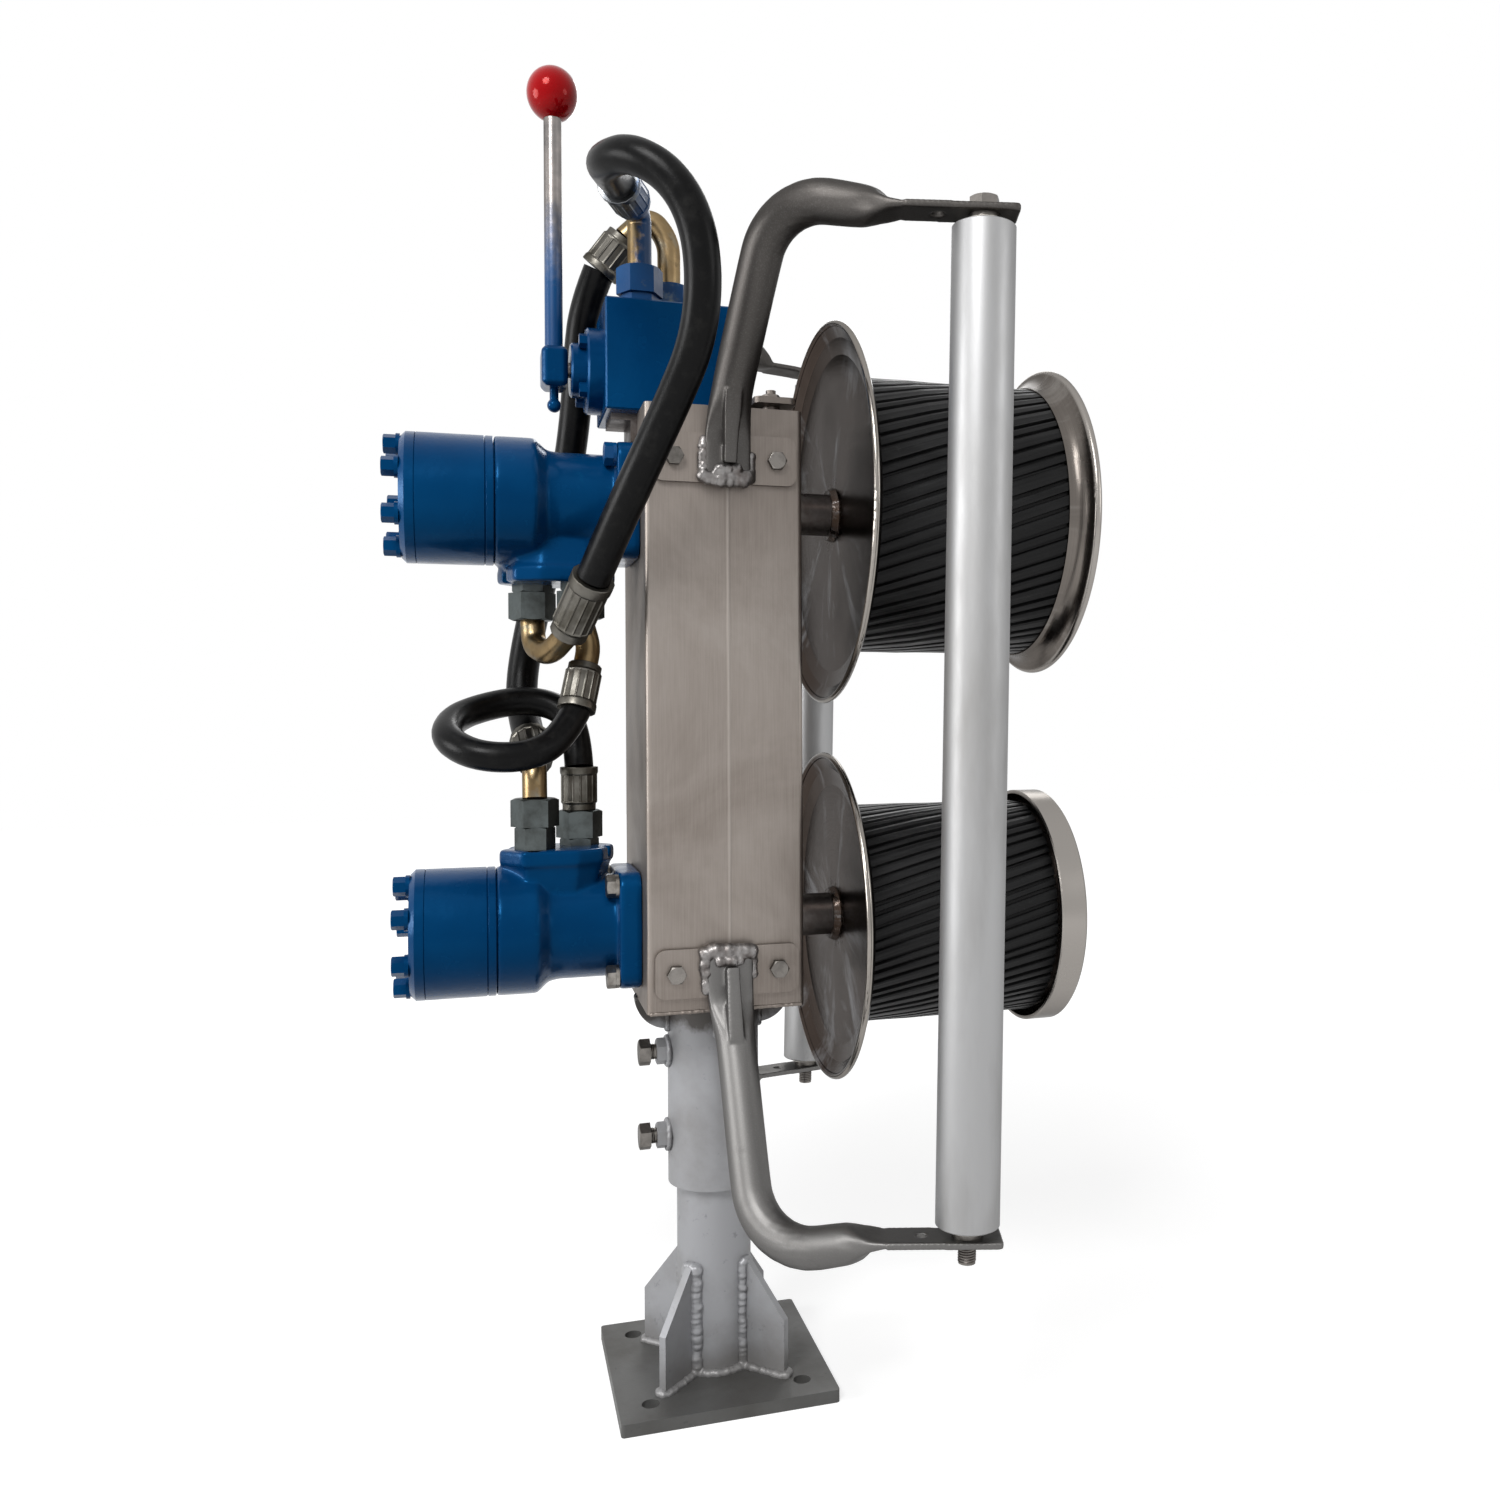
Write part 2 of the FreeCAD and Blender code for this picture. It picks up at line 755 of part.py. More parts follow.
# Motor housing: square flange, neck, taper and barrel, with the port pad on top
def motor_barrel(axis):
    half = motor_flange / 2
    flange_end = box_left - motor_flange_thick
    neck_end = flange_end - neck_length
    taper_end = neck_end - taper_length
    barrel_end = taper_end - barrel_length
    flange = block((flange_end, -half, axis - half), (box_left, half, axis + half))
    corners = [edge for edge in flange.Edges if abs(edge.Length - motor_flange_thick) < 0.01]
    flange = flange.makeFillet(motor_flange_corner, corners)
    rims = [edge for edge in flange.Edges if edge.BoundBox.XMax < flange_end + 0.01]
    flange = flange.makeFillet(motor_flange_edge, rims)
    body = turned([(barrel_end, 0), (barrel_end, motor_radius), (taper_end, motor_radius),
                   (neck_end, neck_radius + neck_flare), (neck_end + neck_flare_length, neck_radius),
                   (flange_end + root, neck_radius), (flange_end + root, 0)], axis)
    pilot = cyl_x(pilot_dia / 2, box_left, box_left + pilot_length, 0, axis)
    return flange.fuse(body).fuse(pilot)


def pad_outline(scale, height):
    long_side = pad_half_length * scale
    wide = pad_half_width * scale
    points = [vec(pad_x + long_side * u, wide * v, height) for u, v in pad_shape]
    return Part.makePolygon(points + [points[0]])


def port_pad(axis):
    top = axis + pad_height
    lip = Part.Face(pad_outline(1.0, top - pad_lip)).extrude(vec(0, 0, pad_lip))
    upright = [edge for edge in lip.Edges if edge.BoundBox.ZLength > pad_lip - 0.1]
    lip = lip.makeFillet(pad_corner, upright)
    under_lip = pad_outline(pad_foot_top, top - pad_lip)
    foot = Part.makeLoft([under_lip, pad_outline(pad_foot_bottom, axis + pad_foot_height)], True, True)
    pad = lip.fuse(foot)
    for u, v in pad_holes:
        x = pad_x + pad_half_length * u
        pad = pad.cut(cyl_z(pad_hole_dia / 2, top - pad_hole_depth, top + past, x, pad_half_width * v))
    return pad


def motor_housing(axis, flipped):
    housing = motor_barrel(axis).fuse(port_pad(axis))
    bore = spigot_dia / 2 + running_clearance
    inside = box_left - motor_flange_thick - neck_length - spigot_gap
    housing = housing.cut(cyl_x(bore, inside, box_left + pilot_length + past, 0, axis))
    housing = housing.removeSplitter()
    if flipped:
        housing.rotate(vec(0, 0, axis), vec(1, 0, 0), 180)
    return housing


def barrel_end():
    return box_left - motor_flange_thick - neck_length - taper_length - barrel_length


# Rings clamped behind the housing: a port plate, the gear ring and the end cover
def motor_ring(axis, start, length):
    ring = cyl_x(motor_radius, start - length, start, 0, axis)
    return ring.makeChamfer(joint_line, [edge for edge in ring.Edges if edge.BoundBox.XLength < 0.01])


def port_plate(axis):
    return motor_ring(axis, barrel_end(), spacer_thick)


def gear_ring(axis, length):
    ring = motor_ring(axis, barrel_end() - spacer_thick, length)
    start = barrel_end() - spacer_thick - length
    bore = motor_radius - gear_ring_wall
    return ring.cut(cyl_x(bore, start - past, start + length + past, 0, axis))


def end_cover(axis, length):
    start = barrel_end() - spacer_thick - length
    face = start - end_cover_thick
    return turned([(start, 0), (start, motor_radius), (face + end_cover_bevel, motor_radius),
                   (face, motor_radius - end_cover_bevel), (face, 0)], axis)


def cover_bolts(axis, length):
    face = barrel_end() - spacer_thick - length - end_cover_thick
    bolts = []
    for k in range(cover_bolt_count):
        turn = 2 * math.pi * k / cover_bolt_count
        y = cover_bolt_circle * math.cos(turn)
        z = axis + cover_bolt_circle * math.sin(turn)
        washer = cyl_x(cover_bolt_flange / 2, face - cover_bolt_flange_thick, face, y, z)
        head = placed(hexagon(cover_bolt_af, cover_bolt_head),
                      vec(face - cover_bolt_flange_thick, y, z), vec(-1, 0, 0))
        bolts.append(washer.fuse(head))
    return bolts


def motor_mount_bolts(axis):
    face = box_left - motor_flange_thick
    bolts = []
    for y in (-mount_bolt_offset, mount_bolt_offset):
        for z in (axis - mount_bolt_offset, axis + mount_bolt_offset):
            washer = cyl_x(mount_washer_dia / 2, face - mount_washer_thick, face, y, z)
            head = placed(hexagon(mount_bolt_af, mount_bolt_head), vec(face - mount_washer_thick, y, z),
                          vec(-1, 0, 0))
            bolts.append(washer.fuse(head))
    return bolts


# Directional valve: machined block, round cover and cap, with two supply ports at the back
def supply_ports():
    first = valve_left + supply_port_first
    return [first, first + supply_port_spacing]


def valve_body():
    half = valve_width / 2
    body = block((valve_left, -half, lid_top), (valve_left + valve_length, half, valve_top))
    body = body.makeChamfer(valve_edge, body.Edges)
    for x in supply_ports():
        mouth = vec(x, half + past, valve_axis)
        port = Part.makeCylinder(supply_port_dia / 2, supply_port_depth + past, mouth, vec(0, -1, 0))
        body = body.cut(port)
    bore = spindle_dia / 2 + running_clearance
    return body.cut(cyl_x(bore, valve_left - past, valve_left + spindle_depth, 0, valve_axis))


def valve_cover():
    cover = cyl_x(valve_cover_dia / 2, valve_left - valve_cover_thick, valve_left, 0, valve_axis)
    rims = [edge for edge in cover.Edges if edge.BoundBox.XMax < valve_left - 0.01
            and edge.BoundBox.XLength < 0.01]
    cover = cover.makeChamfer(valve_cover_edge, rims)
    cap = cyl_x(valve_cap_dia / 2, cap_x, valve_left - valve_cover_thick, 0, valve_axis)
    rims = [edge for edge in cap.Edges if edge.BoundBox.XMax < cap_x + 0.01
            and edge.BoundBox.XLength < 0.01]
    cap = cap.makeChamfer(valve_cover_edge, rims)
    bore = spindle_dia / 2 + running_clearance
    return cover.fuse(cap).cut(cyl_x(bore, cap_x - past, valve_left + past, 0, valve_axis))


def valve_cover_bolts():
    face = valve_left - valve_cover_thick
    bolts = []
    for k in range(4):
        turn = math.radians(45 + 90 * k)
        y = valve_bolt_circle * math.cos(turn)
        z = valve_axis + valve_bolt_circle * math.sin(turn)
        bolts.append(placed(hexagon(valve_bolt_af, valve_bolt_head), vec(face, y, z), vec(-1, 0, 0)))
    return bolts


# Lever: hub on the valve spindle, rod, knob and the screw under the hub
def valve_spindle():
    start = lever_x - hub_width / 2 + spindle_inset
    return cyl_x(spindle_dia / 2, start, valve_left + spindle_depth - spindle_end_gap, 0, valve_axis)


def lever_hub():
    half = hub_height / 2
    left = lever_x - hub_width / 2
    hub = block((left, -half, valve_axis - half), (left + hub_width, half, lever_top))
    hub = hub.makeChamfer(hub_bevel, hub.Edges)
    return hub.cut(valve_spindle())


def lever_rod():
    return cyl_z(rod_dia / 2, lever_top, lever_top + rod_length, lever_x, 0)


def lever_knob():
    knob = Part.makeSphere(knob_dia / 2)
    stretch = FreeCAD.Matrix()
    stretch.scale(1.0, 1.0, knob_height / knob_dia)
    knob = knob.transformGeometry(stretch)
    knob.translate(vec(lever_x, 0, lever_top + rod_length + knob_height / 2 - knob_socket))
    return knob.cut(lever_rod())


def lever_screw():
    top = valve_axis - hub_height / 2
    shank = cyl_z(set_screw_dia / 2, top - set_screw_length, top, lever_x, 0)
    ball = Part.makeSphere(set_screw_head / 2, vec(lever_x, 0, top - set_screw_length + set_screw_head_rise))
    return shank.fuse(ball)


# Arm plates, bolted to the front and back of the box
def arm_plate(height, side):
    low = height - arm_plate_height / 2
    near = box_depth / 2
    plate = block((box_shift - arm_plate_width / 2, -near - arm_plate_thick, low),
                  (box_shift + arm_plate_width / 2, -near, low + arm_plate_height))
    corners = [edge for edge in plate.Edges if edge.BoundBox.YLength > arm_plate_thick - 0.01
               and edge.BoundBox.ZLength < 0.01 and edge.BoundBox.XLength < 0.01]
    plate = plate.makeFillet(arm_plate_corner, corners)
    return plate if side < 0 else mirrored_y(plate)


def arm_plates():
    return [arm_plate(height, side) for height in (lower_plate_z, upper_plate_z) for side in (-1, 1)]


def arm_plate_bolts():
    bolts = []
    for height in (lower_plate_z, upper_plate_z):
        for x in (-arm_bolt_spacing / 2, arm_bolt_spacing / 2):
            for side in (-1, 1):
                head = placed(hexagon(arm_bolt_af, arm_bolt_head),
                              vec(box_shift + x, side * arm_plate_face, height), vec(0, side, 0))
                bolts.append(head)
    return bolts


# The rollers lean a little, so their tabs, axles and washers are built upright and leaned together
def leaned(shape):
    shape = shape.copy()
    shape.rotate(vec(roller_x, 0, roller_middle), vec(0, 1, 0), roller_lean)
    return shape


def leaned_point(point):
    middle = vec(roller_x, 0, roller_middle)
    rotation = FreeCAD.Rotation(vec(0, 1, 0), roller_lean)
    return middle + rotation.multVec(point - middle)


# A section of the arm: a circle where it is as thick as wide, and squarer the flatter it is
def oval_section(centre, along, across, width, thick):
    side = across - along * (across.dot(along) / along.dot(along))
    side.normalize()
    up = along.cross(side)
    up.normalize()
    power = 2.0 / (2.0 + 5.0 * max(0.0, 1.0 - thick / arm_dia))
    points = []
    for k in range(arm_facets):
        turn = 2 * math.pi * (k + 0.5) / arm_facets
        w = math.copysign(abs(math.cos(turn)) ** power, math.cos(turn)) * width / 2
        t = math.copysign(abs(math.sin(turn)) ** power, math.sin(turn)) * thick / 2
        points.append(centre + side * w + up * t)
    return Part.makePolygon(points + [points[0]])


# Sections between two stated ones along a smooth path; each is (place, direction, across, width, thick)
def blended_sections(start, end):
    a, a_along, a_across, a_width, a_thick = start
    b, b_along, b_across, b_width, b_thick = end
    pull = a.distanceToPoint(b) / 3
    near = a + a_along * (pull / a_along.Length)
    far = b - b_along * (pull / b_along.Length)
    sections = []
    for k in range(1, arm_blend_stations + 1):
        u = k / (arm_blend_stations + 1)
        v = 1 - u
        centre = a * v ** 3 + near * (3 * v * v * u) + far * (3 * v * u * u) + b * u ** 3
        along = (near - a) * v * v + (far - near) * (2 * v * u) + (b - far) * u * u
        share = u * u * (3 - 2 * u)
        across = a_across * (1 - share) + b_across * share
        width = a_width + (b_width - a_width) * share
        thick = a_thick + (b_thick - a_thick) * share
        sections.append(oval_section(centre, along, across, width, thick))
    return sections


def arm_tab(roller_end, outward):
    low = roller_end + tab_gap if outward > 0 else roller_end - tab_gap - tab_thick
    half = tab_width / 2
    tab = block((-tab_before, -half, 0), (tab_beyond, half, tab_thick))
    ends = [edge for edge in tab.Edges if edge.BoundBox.ZLength > tab_thick - 0.01
            and edge.BoundBox.XMin > tab_beyond - 0.01]
    tab = tab.makeFillet(tab_corner, ends)
    hole = axle_dia / 2 + hole_clearance
    tab = tab.cut(cyl_z(hole, -past, tab_thick + past, 0, 0))
    tab = tab.cut(cyl_z(tab_hole / 2, -past, tab_thick + past, -tab_hole_offset, 0))
    tab.rotate(vec(0, 0, 0), vec(0, 0, 1), -tab_angle)
    tab.translate(vec(roller_x, -roller_y, low))
    return leaned(tab)


# A bent tube, flattened and welded to its plate at one end and flattened into the roller's tab at the other
def front_arm(plate_z, outward):
    flat_y = -arm_plate_face - weld_gap - flat_thick / 2
    middle = box_shift + arm_shift
    foot = vec(middle, flat_y, plate_z - outward * foot_setback)
    knee = vec(middle, flat_y, plate_z + outward * knee_rise)
    round_start = vec(middle + round_shift, flat_y - round_setback, plate_z + outward * round_rise)
    roller_end = roller_top if outward > 0 else roller_bottom
    tab_middle = roller_end + outward * (tab_gap + tab_thick / 2)
    tab_turn = math.radians(-tab_angle)
    along_tab = vec(math.cos(tab_turn), math.sin(tab_turn), 0)
    sideways = vec(-math.sin(tab_turn), math.cos(tab_turn), 0)
    tab_root = leaned_point(vec(roller_x, -roller_y, tab_middle) - along_tab * tab_before)
    bend = vec(middle + bend_shift + upper_bend_shift * (outward > 0), -roller_y + bend_setback,
               tab_middle + outward * bend_rise)
    neck = tab_root + (bend - tab_root) * neck_share
    level = vec(1, 0, 0)
    rising = vec(0, 0, outward)
    flat_root = (knee, rising, level, flat_width, flat_thick)
    round_root = (round_start, bend - round_start, level, arm_dia, arm_dia)
    round_end = (neck, neck - bend, level, arm_dia, arm_dia)
    flat_end = (tab_root, along_tab, sideways, tab_width - tab_edge_gap, tab_thick - tab_face_gap)
    path, radii = rounded_path([round_start, bend, neck], arm_bend_radius)
    arc = path.Edges[1]
    sections = [oval_section(foot, rising, level, flat_width, flat_thick), oval_section(*flat_root)]
    sections += blended_sections(flat_root, round_root) + [oval_section(*round_root)]
    for k in range(arm_bend_stations + 1):
        at = arc.FirstParameter + (arc.LastParameter - arc.FirstParameter) * k / arm_bend_stations
        sections.append(oval_section(arc.valueAt(at), arc.tangentAt(at), level, arm_dia, arm_dia))
    sections += [oval_section(*round_end)] + blended_sections(round_end, flat_end) + [oval_section(*flat_end)]
    sections.append(oval_section(tab_root + along_tab * tab_sunk, *flat_end[1:]))
    tube = Part.makeLoft(sections, True, True)
    if tube.Volume < 0:
        tube.reverse()
    bar = block((-bar_side / 2, 0, 0), (bar_side / 2, bar_side, bar_length))
    if outward < 0:
        bar.rotate(vec(0, 0, 0), vec(0, 1, 0), 180)
    bar.rotate(vec(0, 0, 0), vec(1, 0, 0), outward * bar_tilt)
    bar.translate(vec(middle, flat_y - flat_thick / 2 - bar_side + bar_sunk, plate_z - outward * bar_setback))
    return tube.fuse([arm_tab(roller_end, outward), bar])


def roller_tube():
    tube = cyl_z(roller_dia / 2, roller_bottom, roller_top, roller_x, -roller_y)
    rims = [edge for edge in tube.Edges if edge.BoundBox.ZLength < 0.01]
    tube = tube.makeChamfer(roller_edge, rims)
    bore = cyl_z(roller_dia / 2 - roller_wall, roller_bottom - past, roller_top + past, roller_x, -roller_y)
    tube = tube.cut(bore)
    return leaned(tube)


def roller_bushes():
    bore = axle_dia / 2 + running_clearance
    plug = roller_dia / 2 - roller_wall
    bushes = []
    for end, inward in ((roller_bottom, 1), (roller_top, -1)):
        face = end - inward * bush_flange
        inner = end + inward * bush_depth
        bush = cyl_z(plug, min(end, inner), max(end, inner), roller_x, -roller_y)
        bush = bush.fuse(cyl_z(bush_flange_dia / 2, min(face, end), max(face, end), roller_x, -roller_y))
        bush = bush.cut(cyl_z(bore, min(face, inner) - past, max(face, inner) + past, roller_x, -roller_y))
        bushes.append(leaned(bush))
    return bushes


def roller_axle():
    head_low = roller_top + tab_gap + tab_thick
    stub_low = roller_bottom - tab_gap - tab_thick - axle_stub
    rod = cyl_z(axle_dia / 2, stub_low, head_low, roller_x, -roller_y)
    rod = rod.fuse(placed(hexagon(axle_af, axle_head), vec(roller_x, -roller_y, head_low), vec(0, 0, 1)))
    return leaned(rod)


def axle_washers():
    washers = []
    for low in (roller_bottom - tab_gap, roller_top + tab_gap - washer_thick):
        washer = cyl_z(washer_dia / 2, low, low + washer_thick, roller_x, -roller_y)
        washer = washer.cut(cyl_z(axle_dia / 2, low - past, low + washer_thick + past, roller_x, -roller_y))
        washers.append(leaned(washer))
    return washers


# Ports: where each fitting stands and which way it points
def motor_port(axis, flipped, near_box):
    side = 1 if near_box else -1
    x = pad_x + side * pad_port_x
    y = side * pad_port_y
    if flipped:
        return vec(x, -y, axis - pad_height), -1
    return vec(x, y, axis + pad_height), 1


def fittings():
    valve_front = vec(valve_port_front[0], valve_port_front[1], valve_top)
    valve_rear = vec(valve_port_rear[0], valve_port_rear[1], valve_top)
    upper_far = motor_port(upper_axis, True, False)
    upper_near = motor_port(upper_axis, True, True)
    lower_far = motor_port(lower_axis, False, False)
    lower_near = motor_port(lower_axis, False, True)
    return [(valve_front, 1, valve_adapter_length),
            (valve_rear, 1, valve_adapter_length),
            (*upper_far, right_adapter_length),
            (*upper_near, right_adapter_length),
            (*lower_far, left_adapter_length),
            (*lower_near, right_adapter_length)]


def port_adapters():
    shapes = []
    for place, way, length in fittings():
        shapes.append(placed(hexagon(adapter_af, length), place, vec(0, 0, way)))
    return shapes


def swivel_nuts():
    shapes = []
    for place, way, length in fittings():
        seat = place + vec(0, 0, way * length)
        shapes.append(placed(hexagon(nut_af, nut_length), seat, vec(0, 0, way)))
    return shapes


def nut_mouth(index):
    place, way, length = fittings()[index]
    return place + vec(0, 0, way * (length + nut_length))


# Bent pipes between the nuts and the ferrules; the last pipe is straight inside its ferrule
def hose_pipes():
    pipes = []
    for points in pipe_routes():
        pipe, path, radii = swept_round(points, pipe_dia)
        pipes.append(pipe)
        print("pipe radii", [round(radius, 1) for radius in radii])
    return pipes


def pipe_routes():
    front = nut_mouth(0)
    rear = nut_mouth(1)
    upper_far = nut_mouth(2)
    upper_near = nut_mouth(3)
    lower_far = nut_mouth(4)
    return [[front, front + vec(0, 0, front_pipe_rise), hose_a_ferrules[0][0]],
            [rear, rear + vec(0, 0, rear_pipe_rise), rear + vec(*rear_pipe_knee), hose_b_ferrules[0][0]],
            [upper_far, upper_far + vec(*upper_pipe_drop), upper_far + vec(*upper_pipe_knee),
             hose_a_ferrules[1][1]],
            [upper_near, upper_near + vec(*middle_pipe_drop), hose_c_ferrules[0][0]],
            [lower_far, lower_far + vec(*lower_pipe_rise), hose_b_ferrules[1][1]]]


# Crimped ferrules, each from its pipe's end to its hose's end
hose_a_ferrules = [(vec(-66, -36, 945), vec(-81, -71, 946)), (vec(-102, -86, 645), vec(-118, -50, 606))]
hose_b_ferrules = [(vec(-66, 26, 938), vec(-86, 35, 912)), (vec(-143, 46, 522), vec(-141, 12, 506))]
hose_c_ferrules = [(vec(-103, -17, 582), vec(-111, -28, 547)), (vec(-106, 14, 501), vec(-106, 14, 466))]

# Hose routes: points chosen by eye along the real hoses, ending at the ferrules
hose_a_route = [(-81, -71, 946), (-93, -104, 942), (-98, -139, 933), (-83, -168, 930), (-57, -181, 913),
                (-39, -182, 883), (-33, -175, 843), (-37, -163, 802), (-53, -148, 762), (-71, -132, 721),
                (-88, -111, 681), (-102, -86, 645)]
hose_b_route = [(-86, 35, 912), (-97, 44, 884), (-101, 56, 846), (-103, 69, 800), (-109, 79, 752),
                (-120, 85, 702), (-133, 87, 651), (-144, 88, 602), (-149, 82, 565), (-147, 67, 540),
                (-143, 46, 522)]
hose_c_route = [(-111, -28, 547), (-124, -44, 523), (-152, -59, 511), (-187, -57, 513), (-209, -31, 526),
                (-203, 7, 541), (-176, 31, 551), (-145, 39, 556), (-118, 34, 549), (-107, 20, 529),
                (-106, 14, 501)]


def ferrules(pairs, hose_dia):
    shapes = []
    for start, end in pairs:
        axis = end - start
        radius = hose_dia / 2 + ferrule_wall
        body = Part.makeCylinder(radius, axis.Length, start, axis)
        rims = [edge for edge in body.Edges if len(edge.Vertexes) == 1]
        shapes.append(body.makeChamfer(ferrule_edge, rims))
    return shapes


def hose(name, route, diameter):
    points = [vec(*point) for point in route]
    tube, path, radii = swept_round(points, diameter)
    section = math.pi * diameter ** 2 / 4
    print(name, "length", round(path.Length, 1), "radii", [round(radius) for radius in radii],
          "volume share", round(tube.Volume / (section * path.Length), 4))
    return tube


def build():
    hose_a = hose("hose_a", hose_a_route, large_hose_dia)
    hose_b = hose("hose_b", hose_b_route, large_hose_dia)
    hose_c = hose("hose_c", hose_c_route, small_hose_dia)
    all_ferrules = ferrules(hose_a_ferrules + hose_b_ferrules, large_hose_dia)
    all_ferrules += ferrules(hose_c_ferrules, small_hose_dia)
    lower_arm = front_arm(lower_plate_z, -1)
    upper_arm = front_arm(upper_plate_z, 1)
    roller = roller_tube()
    axle = roller_axle()
    bushes = roller_bushes()
    washers = axle_washers()
    axes = (lower_axis, upper_axis)
    motors = ((lower_axis, lower_ring_length), (upper_axis, upper_ring_length))
    nodes = {
        "base_plate": [base_plate()],
        "post_tube": [post_tube()],
        "base_gussets": base_gussets(),
        "swivel_sleeve": [swivel_sleeve()],
        "stop_disc": [stop_disc()],
        "upper_lock_screw": [lock_screw(lock_screw_heights()[0])],
        "lower_lock_screw": [lock_screw(lock_screw_heights()[1])],
        "head_box": [head_box()],
        "top_plate": [top_plate()],
        "top_strap": [top_strap()],
        "valve_bracket": [valve_bracket()],
        "bearing_housings": [bearing_housing(axis) for axis in axes],
        "bearings": bearings(),
        "bearing_covers": [bearing_cover(axis) for axis in axes],
        "arm_plates": arm_plates(),
        "arm_plate_bolts": arm_plate_bolts(),
        "front_lower_arm": [lower_arm],
        "front_upper_arm": [upper_arm],
        "rear_lower_arm": [mirrored_y(lower_arm)],
        "rear_upper_arm": [mirrored_y(upper_arm)],
        "front_roller": [roller],
        "rear_roller": [mirrored_y(roller)],
        "front_roller_bushes": bushes,
        "rear_roller_bushes": [mirrored_y(bush) for bush in bushes],
        "roller_axles": [axle, mirrored_y(axle)],
        "axle_washers": washers + [mirrored_y(washer) for washer in washers],
        "motor_port_plates": [port_plate(axis) for axis in axes],
        "motor_gear_rings": [gear_ring(*motor) for motor in motors],
        "motor_end_covers": [end_cover(*motor) for motor in motors],
        "motor_cover_bolts": [bolt for motor in motors for bolt in cover_bolts(*motor)],
        "motor_mount_bolts": motor_mount_bolts(lower_axis) + motor_mount_bolts(upper_axis),
        "lower_motor_housing": [motor_housing(lower_axis, False)],
        "upper_motor_housing": [motor_housing(upper_axis, True)],
        "valve_body": [valve_body()],
        "valve_cover": [valve_cover()],
        "valve_cover_bolts": valve_cover_bolts(),
        "valve_spindle": [valve_spindle()],
        "lever_hub": [lever_hub()],
        "lever_rod": [lever_rod()],
        "lever_knob": [lever_knob()],
        "lever_screw": [lever_screw()],
        "port_adapters": port_adapters(),
        "swivel_nuts": swivel_nuts(),
        "hose_pipes": hose_pipes(),
        "hose_ferrules": all_ferrules,
        "hose_a": [hose_a],
        "hose_b": [hose_b],
        "hose_c": [hose_c],
    }
    drums = (("lower", lower_axis, lower_rim_radius, lower_drum_radius),
             ("upper", upper_axis, upper_rim_radius, upper_drum_radius))
    for name, axis, rim, drum in drums:
        nodes[name + "_drum_shaft"] = [drum_shaft(axis), shaft_nut(axis)]
        nodes[name + "_motor_shaft"] = [motor_shaft(axis), coupling(axis)]
        nodes[name + "_inner_flange"] = [inner_flange(axis, rim, drum)]
        nodes[name + "_drum_core"] = [drum_core(axis, drum)]
        nodes[name + "_lagging"] = [lagging(axis, drum, outer_x - lip_width)]
    nodes["upper_outer_flange"] = [flared_flange(upper_axis)]
    nodes["lower_outer_flange"] = [banded_flange(lower_axis)]
    return nodes


def write(nodes):
    os.makedirs("parts", exist_ok=True)
    for name, shapes in nodes.items():
        solids = [solid for shape in shapes for solid in shape.Solids]
        shape = solids[0] if len(solids) == 1 else Part.makeCompound(solids)
        if not shape.isValid():
            print("not valid:", name)
        shape.exportStep("parts/" + name + ".step")
    print("nodes", len(nodes))


write(build())
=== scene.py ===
import math
import random

import bmesh
import bpy
from mathutils import Matrix, Vector


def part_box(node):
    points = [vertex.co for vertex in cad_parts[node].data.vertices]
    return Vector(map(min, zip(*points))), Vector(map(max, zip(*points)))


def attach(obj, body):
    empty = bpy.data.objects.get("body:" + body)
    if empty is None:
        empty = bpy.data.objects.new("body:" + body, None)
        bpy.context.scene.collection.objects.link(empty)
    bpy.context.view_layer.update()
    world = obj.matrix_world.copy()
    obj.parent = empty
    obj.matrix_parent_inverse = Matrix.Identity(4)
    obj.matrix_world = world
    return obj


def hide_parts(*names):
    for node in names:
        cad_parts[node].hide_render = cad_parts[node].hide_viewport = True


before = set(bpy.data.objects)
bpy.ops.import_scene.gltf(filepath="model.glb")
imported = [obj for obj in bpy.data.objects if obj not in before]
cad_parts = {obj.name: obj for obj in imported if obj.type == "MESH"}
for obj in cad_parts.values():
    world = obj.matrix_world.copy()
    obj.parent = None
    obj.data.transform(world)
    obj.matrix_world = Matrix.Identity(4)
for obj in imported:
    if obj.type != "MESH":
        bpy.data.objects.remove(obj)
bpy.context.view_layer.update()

# Dressing of a hydraulic twin-drum line hauler: camera, light, hoses, welds, fittings and finishes.
# Lengths are in metres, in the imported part's own frame.

drumAxes = (0.3733, 0.7117)  # heights of the lower and the upper drum's axis
middleBand = (0.530, 0.531)  # what lies above this belongs to the upper drum
mergeDistance = 0.00001  # corners nearer than this are one corner


# Mesh tools

def pickNothing():
    if bpy.context.object and bpy.context.object.mode != "OBJECT":
        bpy.ops.object.mode_set(mode="OBJECT")
    bpy.ops.object.select_all(action="DESELECT")


def pickOnly(piece):
    pickNothing()
    piece.select_set(True)
    bpy.context.view_layer.objects.active = piece


# Names a new primitive and leaves it in edit mode with nothing selected
def startEditing(name):
    piece = bpy.context.object
    piece.name = name
    bpy.ops.object.mode_set(mode="EDIT")
    bpy.ops.mesh.select_all(action="DESELECT")
    return piece


def pickEdges(piece, test):
    mesh = bmesh.from_edit_mesh(piece.data)
    bpy.ops.mesh.select_mode(type="EDGE")
    for edge in mesh.edges:
        edge.select = test(edge)
    mesh.select_flush_mode()
    bmesh.update_edit_mesh(piece.data)


def pickFaces(piece, test):
    mesh = bmesh.from_edit_mesh(piece.data)
    bpy.ops.mesh.select_mode(type="FACE")
    for face in mesh.faces:
        face.select = test(face)
    mesh.select_flush_mode()
    bmesh.update_edit_mesh(piece.data)


